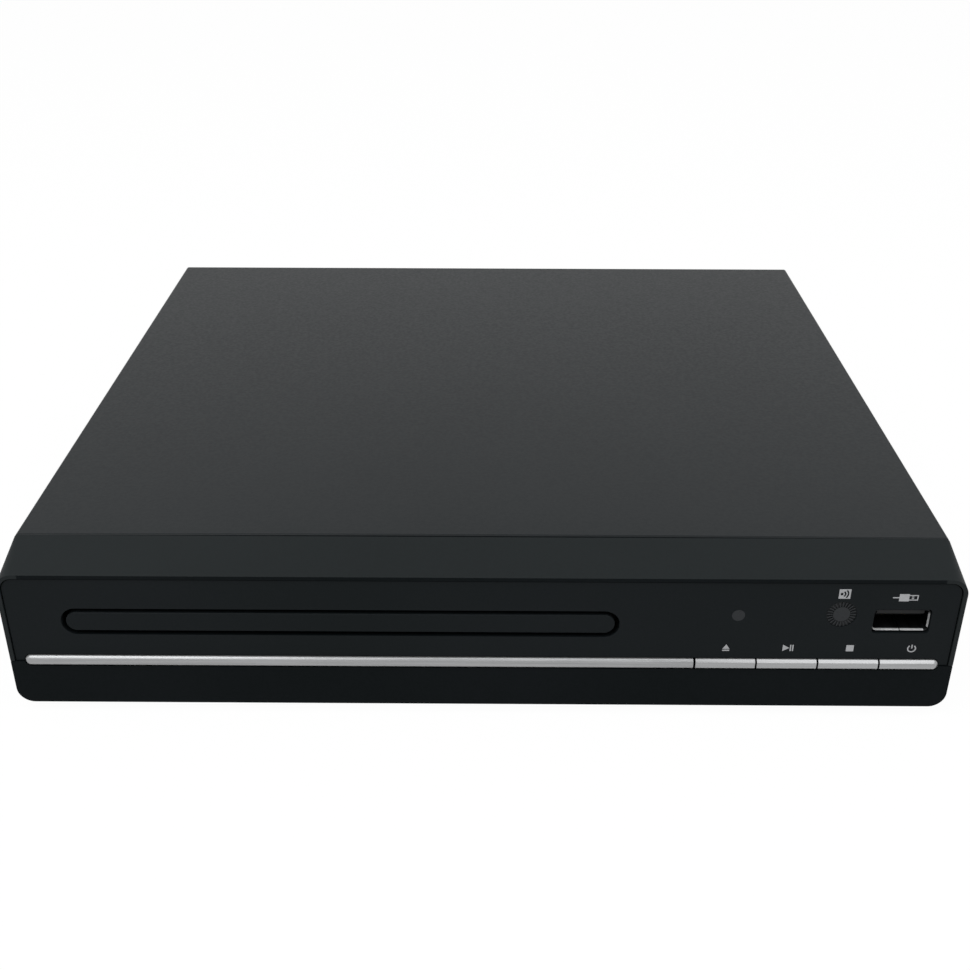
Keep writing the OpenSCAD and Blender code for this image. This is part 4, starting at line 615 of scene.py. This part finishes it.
def arc(radius, stroke, start, end, steps=24, x=0.0, z=0.0):
    """A stroke along an arc, in degrees from the right and anticlockwise."""
    turns = [math.radians(start + (end - start) * i / steps) for i in range(steps + 1)]

    def curve(r):
        return [(x + r * math.cos(a), z + r * math.sin(a)) for a in turns]

    return curve(radius + stroke / 2) + curve(radius - stroke / 2)[::-1]


# Where the marks stand: those over the buttons share one height.
EJECT_X, PLAY_X, STOP_X, STANDBY_X, MARK_Z = 58.1, 72.75, 87.4, 102.0, 20.0
REMOTE_AT, PLUG_AT = (84.15, 35.35), (98.35, 34.4)
marks = [
    printed("mark_eject", EJECT_X, MARK_Z, [[(-0.84, -0.35), (0.84, -0.35), (0, 0.95)],
                                            bar(-0.84, 0.84, -0.95, -0.6)]),
    printed("mark_play", PLAY_X, MARK_Z, [[(-1.25, -0.9), (0.35, 0), (-1.25, 0.9)],
                                          bar(0.45, 0.75, -0.9, 0.9), bar(1.0, 1.3, -0.9, 0.9)]),
    printed("mark_stop", STOP_X, MARK_Z, [bar(-0.89, 0.89, -0.88, 0.88)]),
    printed("mark_standby", STANDBY_X, MARK_Z, [arc(0.92, 0.3, 125, 415), bar(-0.15, 0.15, 0.05, 1.1)]),
    # A remote handset's signal, dark on a light tile, over the remote window.
    printed("mark_remote", *REMOTE_AT, [bar(-1.35, 1.35, -1.3, 1.3)]),
    printed("mark_signal", *REMOTE_AT, [bar(-0.95, -0.4, -0.3, 0.3), arc(0.75, 0.32, -55, 55, 10, -0.6),
                                        arc(1.4, 0.32, -45, 45, 10, -0.6)], "skirt", "black_plastic", 1),
    # A plug with its lead, over the socket that it goes into.
    printed("mark_plug", *PLUG_AT, [bar(-3.0, -1.5, -0.15, 0.15), bar(-1.5, 0.8, -1.0, 1.0),
                                    bar(0.8, 2.9, 0.5, 0.75), bar(0.8, 2.9, -0.75, -0.5),
                                    bar(2.65, 2.9, -0.5, 0.5), bar(1.4, 1.9, 0.1, 0.35),
                                    bar(1.4, 1.9, -0.35, -0.1)]),
]
print(len(marks), "printed marks")

# %% [markdown]
# ## Turned parts
# A phono jack is a turned, nickel-plated ring pressed over a coloured insulator with a bore for the
# plug's pin. A lathe profile gives each, and the moulded block behind them is a plain soft box.


# %% Phono jacks
TURN_STEPS = 40


def turned(bm, profile, centre, mark=0):
    """Adds a body turned about the y axis through centre. profile lists (radius, depth) in millimetres."""
    rings = []
    turns = [2 * math.pi * i / TURN_STEPS for i in range(TURN_STEPS)]
    for radius, depth in profile:
        rings.append([bm.verts.new((centre.x + radius * MM * math.cos(a), FRONT_Y + depth * MM,
                                    centre.z + radius * MM * math.sin(a))) for a in turns])
    for one, two in zip(rings, rings[1:] + rings[:1]):
        for i in range(TURN_STEPS):
            face = bm.faces.new((one[i], one[i - 1], two[i - 1], two[i]))
            face.material_index = mark


def boxed(bm, low, high, mark=0):
    """Adds a box."""
    new = bmesh.ops.create_cube(bm, size=1.0)["verts"]
    for vert in new:
        vert.co = Vector([(a + b) / 2 + c * (b - a) for a, b, c in zip(low, high, vert.co)])
    for face in {f for v in new for f in v.link_faces}:
        face.material_index = mark


low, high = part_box("phono_jacks")
BLOCK_BACK = 203.3
bm = bmesh.new()
boxed(bm, low, Vector((high.x, at(0, BLOCK_BACK, 0).y, high.z)))
block = keep(piece_from("phono_block", bm, FINISH["black"]), "housing", "jack_metal", "phono_jacks")
rounded(block, 0.3)

JACK_X, JACK_Z = (5.0, 19.0), (17.6, 31.6)
SHELL = [(3.45, 203.0), (4.85, 203.0), (4.85, 205.0), (4.7, 205.2), (4.15, 205.2), (4.15, 212.95),
         (3.95, 213.2), (3.6, 213.2), (3.45, 213.05)]
SLEEVE = [(1.65, 203.0), (3.45, 203.0), (3.45, 212.7), (1.9, 212.7), (1.65, 212.5)]
COLOURS = [["red", "orange"], ["white", "yellow"]]
for row, z in enumerate(JACK_Z):
    for column, x in enumerate(JACK_X):
        bm = bmesh.new()
        turned(bm, SHELL, at(x, 0, z))
        turned(bm, SLEEVE, at(x, 0, z), 1)
        bmesh.ops.recalc_face_normals(bm, faces=bm.faces)
        jack = piece_from(f"phono_ring_{row}_{column}", bm, FINISH["nickel"])
        jack.data.materials.append(FINISH[COLOURS[row][column]])
        keep(jack, "housing", "jack_metal", "phono_jacks")
print("four phono jacks with", COLOURS, "insulators")

# %% [markdown]
# ## Repeated small parts
# Contacts, chip legs and chip resistors come in rows and clouds of one small shape. A Geometry Nodes
# tree puts a copy of the shape on each point that the script gives, and the result becomes one plain
# mesh. Each shape has a few dozen faces at most.

# %% A tree that copies a shape onto points
copier = bpy.data.node_groups.new("copies_on_points", "GeometryNodeTree")
for label, kind in (("Points", "NodeSocketGeometry"), ("Shape", "NodeSocketObject"),
                    ("Finish", "NodeSocketMaterial"), ("Quarter turns", "NodeSocketInt"),
                    ("Seed", "NodeSocketInt")):
    copier.interface.new_socket(label, in_out="INPUT", socket_type=kind)
copier.interface.new_socket("Copies", in_out="OUTPUT", socket_type="NodeSocketGeometry")
given = add(copier, "NodeGroupInput")
shape = add(copier, "GeometryNodeObjectInfo", {"Object": given.outputs["Shape"]})
turns = add(copier, "FunctionNodeRandomValue", {"Seed": given.outputs["Seed"]}, data_type="INT")
turns.inputs[4].default_value = 0
copier.links.new(given.outputs["Quarter turns"], turns.inputs[5])
angle = add(copier, "ShaderNodeMath", {0: turns.outputs[2], 1: math.pi / 2}, operation="MULTIPLY")
spin = add(copier, "ShaderNodeCombineXYZ", {"Z": angle.outputs[0]})
put = add(copier, "GeometryNodeInstanceOnPoints", {
    "Points": given.outputs["Points"], "Instance": shape.outputs["Geometry"], "Rotation": spin.outputs[0]})
real = add(copier, "GeometryNodeRealizeInstances", {0: put.outputs[0]})
coat = add(copier, "GeometryNodeSetMaterial", {"Geometry": real.outputs[0],
                                               "Material": given.outputs["Finish"]})
add(copier, "NodeGroupOutput", {0: coat.outputs[0]})
SOCKETS = {item.name: item.identifier for item in copier.interface.items_tree if item.in_out == "INPUT"}
print("the tree's inputs:", ", ".join(SOCKETS))


def shape_of(name, boxes, bevel_mm=0.0):
    """A small shape made of boxes, each as (low, high) in millimetres about its own middle."""
    bm = bmesh.new()
    for low, high in boxes:
        boxed(bm, Vector(low) * MM, Vector(high) * MM)
    if bevel_mm:
        bmesh.ops.bevel(bm, geom=bm.edges[:], offset=bevel_mm * MM, segments=1, affect="EDGES")
    mesh = bpy.data.meshes.new(name)
    bm.to_mesh(mesh)
    bm.free()
    return bpy.data.objects.new(name, mesh)


def copies(name, shape, places, finish, body, slot, quarter_turns=0, seed=1):
    """One piece with a copy of shape at each place."""
    cloud = bpy.data.meshes.new(name + "_points")
    cloud.from_pydata([tuple(p) for p in places], [], [])
    host = bpy.data.objects.new(name + "_host", cloud)
    bpy.context.scene.collection.objects.link(host)
    rule = host.modifiers.new("copies", "NODES")
    rule.node_group = copier
    for label, value in (("Shape", shape), ("Finish", finish), ("Quarter turns", quarter_turns),
                         ("Seed", seed)):
        rule[SOCKETS[label]] = value
    made = bpy.data.meshes.new_from_object(host.evaluated_get(bpy.context.evaluated_depsgraph_get()))
    made.name = name
    bpy.data.objects.remove(host)
    piece = bpy.data.objects.new(name, made)
    bpy.context.scene.collection.objects.link(piece)
    return keep(piece, body, slot)


# %% [markdown]
# ## The front socket
# The front socket is a folded steel tube with a flared mouth and its joint along the floor. Rings of
# points, from the back of its outside round the mouth to the back of its inside, give the sheet.

# %% The front socket's shell
shell_low, shell_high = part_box("usb_socket")
usb = middle("usb_socket")
HALF_W, HALF_H = (shell_high.x - shell_low.x) / 2, (shell_high.z - shell_low.z) / 2
SHEET, EDGE, JOINT = 0.3 * MM, 0.12 * MM, 0.1 * MM
FLARE, OPEN_W, OPEN_H = 0.5 * MM, 0.06 * MM, 0.08 * MM
CORNER_STEPS = 4


def shell_ring(bm, half_w, half_h, y, corner_mm):
    """One closed ring of points round the socket, from the joint in its floor and back to it."""
    corner = corner_mm * MM
    points = [(JOINT, -half_h)]
    for sx, sz, start in ((1, -1, -90), (1, 1, 0), (-1, 1, 90), (-1, -1, 180)):
        for step in range(CORNER_STEPS + 1):
            turn = math.radians(start + 90 / CORNER_STEPS * step)
            points.append((sx * (half_w - corner) + corner * math.cos(turn),
                           sz * (half_h - corner) + corner * math.sin(turn)))
    points.append((-JOINT, -half_h))
    return [bm.verts.new((usb.x + u, y, usb.z + v)) for u, v in points]


bm = bmesh.new()
mouth = shell_low.y + FLARE
loops = [shell_ring(bm, HALF_W, HALF_H, shell_high.y, 0.5), shell_ring(bm, HALF_W, HALF_H, mouth, 0.5),
         shell_ring(bm, HALF_W + OPEN_W, HALF_H + OPEN_H, shell_low.y, 1.0),
         shell_ring(bm, HALF_W + OPEN_W - EDGE, HALF_H + OPEN_H - EDGE, shell_low.y, 0.9),
         shell_ring(bm, HALF_W - SHEET, HALF_H - SHEET, mouth, 0.6),
         shell_ring(bm, HALF_W - SHEET, HALF_H - SHEET, shell_high.y, 0.3)]
for one, two in zip(loops, loops[1:] + loops[:1]):
    for i in range(len(one) - 1):
        bm.faces.new((one[i], one[i + 1], two[i + 1], two[i]))
for side in (0, -1):
    bm.faces.new([loop[side] for loop in loops])
bmesh.ops.recalc_face_normals(bm, faces=bm.faces)
shell = keep(piece_from("usb_shell", bm, FINISH["painted_shade_nickel"]), "housing", "plated_steel", "usb_socket")
# Painted light and shade: the flared floor and the right wall face the light and get the lit copy of the
# nickel, while the rest of the shell is drawn dark.
LIT_END, FORWARD, UPWARD, LEFTWARD = usb.x + 5 * MM, -0.05, 0.5, -0.9
split(shell, FINISH["lit_nickel"], lambda p, n: shell_low.y < p.y < mouth and n.y < FORWARD
      and (n.z > UPWARD and p.x < LIT_END or n.x < LEFTWARD))
print("front socket", tuple(round(c / MM, 1) for c in shell_high - shell_low), "mm")

# %% [markdown]
# Inside it, the lower edge of the tongue's tip slopes, which leads a plug's contacts under it. Four
# gold-flashed contacts lie under the tongue and two spring fingers reach down from the roof.

# %% The front socket's tongue and springs
TIP_SLOPE, TIP_STEPS = 0.9 * MM, 2
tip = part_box("usb_tongue")[0]
bm = flattened("usb_tongue")
under = min(v.co.z for v in bm.verts if v.co.y < tip.y + HAIR)
lip = [e for e in bm.edges if all(v.co.y < tip.y + HAIR and v.co.z < under + HAIR for v in e.verts)]
bmesh.ops.bevel(bm, geom=lip, offset=TIP_SLOPE, segments=TIP_STEPS, affect="EDGES")
keep(piece_from("usb_tongue_moulding", bm, FINISH["black"]), "housing", SLOTS["usb_tongue"], "usb_tongue")

strip = shape_of("usb_contact_shape", [((-0.5, 0, -0.1), (0.5, 7.0, 0.02))], 0.03)
CONTACT_X, CONTACT_Y, CONTACT_Z = (-3.5, -1.0, 1.0, 3.5), shell_low.y + 2.2 * MM, usb.z + 0.3 * MM
copies("usb_contacts", strip, [(usb.x + x * MM, CONTACT_Y, CONTACT_Z) for x in CONTACT_X],
       FINISH["gold"], "housing", "plated_steel")
# A finger is a bow of short boxes, deepest in its middle.
BOXES, BOX_LENGTH, DIP, HALF_WIDTH, HALF_SHEET = 8, 0.5, 0.5, 0.8, 0.1
bow = []
for i in range(BOXES):
    near = BOX_LENGTH * (i - BOXES / 2)
    dip = [-DIP * math.sin(math.pi * k / BOXES) for k in (i, i + 1)]
    bow.append(((-HALF_WIDTH, near, min(dip) - HALF_SHEET),
                (HALF_WIDTH, near + BOX_LENGTH, max(dip) + HALF_SHEET)))
finger = shape_of("usb_finger_shape", bow)
FINGER_X, FINGER_Y, FINGER_Z = (-3.0, 3.0), shell_low.y + 5.0 * MM, shell_high.z - 0.15 * MM
# The fingers are drawn in the same painted-shade nickel.
copies("usb_fingers", finger, [(usb.x + x * MM, FINGER_Y, FINGER_Z) for x in FINGER_X],
       FINISH["painted_shade_nickel"], "housing", "plated_steel")
print("in the front socket:", len(CONTACT_X), "contacts and", len(FINGER_X), "fingers")

# %% [markdown]
# ## Contacts in the rear sockets
# The wide audio and video socket has two rows of sprung blades, one row set half a pitch over from the
# other. The digital video socket has a row of flat tabs on its tongue.

# %% Rear contacts
scart = middle("scart_socket")
blade = shape_of("scart_contact_shape", [((-0.25, -4.5, -1.6), (0.25, 1.0, 1.6)),
                                         ((-0.45, 0.6, -1.2), (0.45, 1.0, 1.2))], 0.05)
ROW_OF, SCART_PITCH, SCART_SHIFT, SCART_ROW = 10, 3.8, 0.95, 3.2
SCART_LEFT, SCART_DEPTH, SCART_Z = scart.x / MM - 18.5, 202.0, 21.4
places = [at(SCART_LEFT + i * SCART_PITCH + row * SCART_SHIFT, SCART_DEPTH, SCART_Z + row * SCART_ROW)
          for i in range(ROW_OF) for row in (-1, 1)]
copies("scart_contacts", blade, places, FINISH["tin"], "housing", "plated_steel")
tab = shape_of("video_contact_shape", [((-0.18, -3.0, -0.05), (0.18, 3.0, 0.05))])
TAB_PITCH, TAB_Y, TAB_Z = 1.0 * MM, at(0, 199, 0).y, video.z + 1.12 * MM
tabs = [(video.x + (i - (ROW_OF - 1) / 2) * TAB_PITCH, TAB_Y, TAB_Z) for i in range(ROW_OF)]
copies("video_contacts", tab, tabs, FINISH["gold"], "housing", "plated_steel")
print("in the rear sockets:", len(places), "blades and", len(tabs), "tabs")

# %% [markdown]
# ## Chip legs
# Chips stand on gull-wing legs, 0.65 mm apart in reality and 1.0 mm here, so that they can be told
# apart. A leg leaves the chip, goes down and lies flat on the board. Only the chip with four sides of
# legs is wider than 15 mm.

# %% Chip legs
board_low, board_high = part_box("main_board")
BOARD_TOP = board_high.z
LEG_PITCH, FOUR_SIDED = 1.0, 15 * MM
# A leg that points right, as boxes, and the way that each side of a chip looks.
LEG = [((-0.1, -0.2, 0.55), (0.35, 0.2, 0.7)), ((0.3, -0.2, 0.0), (0.45, 0.2, 0.7)),
       ((0.4, -0.2, 0.0), (0.95, 0.2, 0.12))]
LOOKS = {"right": (1, 0), "left": (-1, 0), "back": (0, 1), "front": (0, -1)}


def leg(side):
    """The shape of a leg on one side of a chip, by quarter turns of the leg that points right."""
    along, across = LOOKS[side]
    boxes = []
    for box in LEG:
        corners = [(u * along - v * across, u * across + v * along, w) for u, v, w in box]
        boxes.append((tuple(map(min, *corners)), tuple(map(max, *corners))))
    return shape_of(f"leg_{side}_shape", boxes)


def spread(low, high):
    """Places for legs along a side, a pitch apart and centred."""
    count = int((high - low) / (LEG_PITCH * MM)) - 1
    start = (low + high) / 2 - (count - 1) / 2 * LEG_PITCH * MM
    return [start + i * LEG_PITCH * MM for i in range(count)]


bodies = solids("board_chips")
sides = {side: [] for side in LOOKS}
for low, high in bodies:
    for y in spread(low.y, high.y):
        sides["right"].append((high.x, y, BOARD_TOP))
        sides["left"].append((low.x, y, BOARD_TOP))
    if high.x - low.x > FOUR_SIDED:
        for x in spread(low.x, high.x):
            sides["back"].append((x, high.y, BOARD_TOP))
            sides["front"].append((x, low.y, BOARD_TOP))
for side, places in sides.items():
    copies(f"chip_legs_{side}", leg(side), places, FINISH["tin"], "housing", "plated_steel")
print(sum(len(places) for places in sides.values()), "chip legs")

# %% [markdown]
# ## Small parts on the board
# Between the chips lie resistors and capacitors for surface mounting, at random places with a fixed
# seed, in the back part of the board and in its wing by turns. A place that is too near a larger part
# or another small one is thrown away. Random quarter turns come from the tree.

# %% Small parts
SEED, SPOTS = 7, 90
CLEAR, APART, MARGIN = 1.6 * MM, 3.2 * MM, 2 * MM
WING_W, WING_BACK, STRIP_FRONT = 36 * MM, at(0, 178, 0).y, at(0, 180, 0).y
taken = list(bodies) + [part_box(n) for n in ("phono_jacks", "scart_socket", "video_socket", "mains_inlet")]
taken += solids("ribbon_cables") + solids("inner_screws")
areas = [(Vector((board_low.x, STRIP_FRONT, 0)), Vector((board_high.x - 1 * MM, board_high.y, 0))),
         (Vector((board_high.x - WING_W, board_low.y, 0)), Vector((board_high.x, WING_BACK, 0)))]
chance = random.Random(SEED)
spots = []
while len(spots) < SPOTS:
    low, high = areas[len(spots) % 2]
    x = chance.uniform(low.x + MARGIN, high.x - MARGIN)
    y = chance.uniform(low.y + MARGIN, high.y - MARGIN)
    free = all(not (a.x - CLEAR < x < b.x + CLEAR and a.y - CLEAR < y < b.y + CLEAR) for a, b in taken)
    apart = all(abs(x - u) + abs(y - v) > APART for u, v, _ in spots)
    if free and apart:
        spots.append((x, y, BOARD_TOP))
ends = shape_of("small_part_ends_shape", [((-1.0, -0.6, 0.0), (-0.7, 0.6, 0.5)),
                                          ((0.7, -0.6, 0.0), (1.0, 0.6, 0.5))])
core = shape_of("small_part_core_shape", [((-0.7, -0.6, 0.05), (0.7, 0.6, 0.5))])
QUARTER_TURNS, TURN_SEED = 2, 3
for name, chosen, finish in (("resistor", spots[::2], "epoxy"), ("capacitor", spots[1::2], "phenolic")):
    copies(f"small_{name}_cores", core, chosen, FINISH[finish], "housing", "black_plastic",
           QUARTER_TURNS, TURN_SEED)
    copies(f"small_{name}_ends", ends, chosen, FINISH["tin"], "housing", "plated_steel",
           QUARTER_TURNS, TURN_SEED)
print(len(spots), "small parts on the board")

# %% [markdown]
# ## Floor, light and camera
# A plain white floor under a white surround. What the camera, a reflection or a clear part sees of
# the surround is white at strength 1; the light that it gives is lower, so that a colour shows about
# as it is written. Two large soft lamps do the rest.

# %% Studio
WHITE, AMBIENT, FLOOR_WHITE, FLOOR_HALF = 1.0, 0.5, 0.97, 4.0


def seen_directly(tree):
    """1 for rays from the camera, from a reflection or through a clear part, and 0 for the light."""
    rays = add(tree, "ShaderNodeLightPath")
    first = add(tree, "ShaderNodeMath", {0: rays.outputs["Is Camera Ray"], 1: rays.outputs["Is Glossy Ray"]},
                operation="MAXIMUM")
    return add(tree, "ShaderNodeMath", {0: first.outputs[0], 1: rays.outputs["Is Transmission Ray"]},
               operation="MAXIMUM").outputs[0]


world = bpy.data.worlds.new("studio")
bpy.context.scene.world = world
world.use_nodes = True
world.node_tree.nodes.clear()
tree = world.node_tree
level = add(tree, "ShaderNodeMapRange", {"Value": seen_directly(tree), "To Min": AMBIENT, "To Max": WHITE})
glow = add(tree, "ShaderNodeBackground", {"Color": linear("#FFFFFF"), "Strength": level.outputs[0]})
add(tree, "ShaderNodeOutputWorld", {"Surface": glow.outputs[0]})

paper, tree = blank("white_paper_floor")
place = add(tree, "ShaderNodeTexCoord").outputs["Object"]
fibre = add(tree, "ShaderNodeTexNoise", {"Vector": place, "Scale": 1 / (2 * MM)})
tone = add(tree, "ShaderNodeMix", {0: fibre.outputs[0], 6: linear("#F6F6F6"), 7: linear("#FFFFFF")},
           data_type="RGBA")
matt = add(tree, "ShaderNodeBsdfDiffuse", {"Color": tone.outputs[2]})
white = add(tree, "ShaderNodeEmission", {"Color": linear("#FFFFFF"), "Strength": WHITE})
share = add(tree, "ShaderNodeMath", {0: seen_directly(tree), 1: FLOOR_WHITE}, operation="MULTIPLY")
both = add(tree, "ShaderNodeMixShader", {0: share.outputs[0], 1: matt.outputs[0], 2: white.outputs[0]})
add(tree, "ShaderNodeOutputMaterial", {"Surface": both.outputs[0]})

bm = bmesh.new()
bmesh.ops.create_grid(bm, x_segments=8, y_segments=8, size=FLOOR_HALF)
floor = piece_from("floor", bm, paper)


def lamp(name, place, watts):
    """A square soft lamp that points at the player."""
    data = bpy.data.lights.new(name, "AREA")
    data.size = LAMP_SIDE
    data.energy = watts
    light = bpy.data.objects.new(name, data)
    light.location = place
    light.rotation_euler = (-Vector(place)).to_track_quat("-Z", "Y").to_euler()
    bpy.context.scene.collection.objects.link(light)


# Each lamp's place in metres and its power in watts. Both show as a line along the silver strip.
LAMP_SIDE = 0.9
LAMPS = {"key": ((-0.5, -0.5, 1.1), 10.0), "fill": ((0.6, -0.5, 1.0), 5.2)}
for name, (place, watts) in LAMPS.items():
    lamp(name, place, watts)
print(len(LAMPS), "lamps of", sum(watts for _, watts in LAMPS.values()), "W")

# %% [markdown]
# The camera stands in front of the player and looks down at it. Its pitch, yaw and roll turn the
# world's axes into the camera's; Blender's camera looks along its own -z with y up.

# %% Camera
PITCH, YAW, ROLL = math.radians(28.709), math.radians(-0.309), math.radians(0.1285)
CAMERA_AT = (0.002233, -0.35120, 0.19786)
FOCAL_PX, FRAME_PX, SENSOR_MM = 1266.8, 970, 36.0
along_view = Matrix(((1, 0, 0), (0, 0, -1), (0, 1, 0)))
tilt = Matrix.Rotation(ROLL, 3, "Z") @ Matrix.Rotation(PITCH, 3, "X")
right, down, forward = tilt @ along_view @ Matrix.Rotation(YAW, 3, "Z")
turn = Matrix((right, -down, -forward)).transposed()
view = bpy.data.cameras.new("view")
view.sensor_fit = "HORIZONTAL"
view.sensor_width = SENSOR_MM
view.lens = FOCAL_PX / FRAME_PX * SENSOR_MM
camera = bpy.data.objects.new("view", view)
camera.matrix_world = Matrix.Translation(CAMERA_AT) @ turn.to_4x4()
bpy.context.scene.collection.objects.link(camera)
bpy.context.scene.camera = camera
bpy.context.scene.view_settings.view_transform = "Standard"
print(f"camera at {tuple(round(c, 4) for c in camera.location)}, lens {view.lens:.2f} mm")
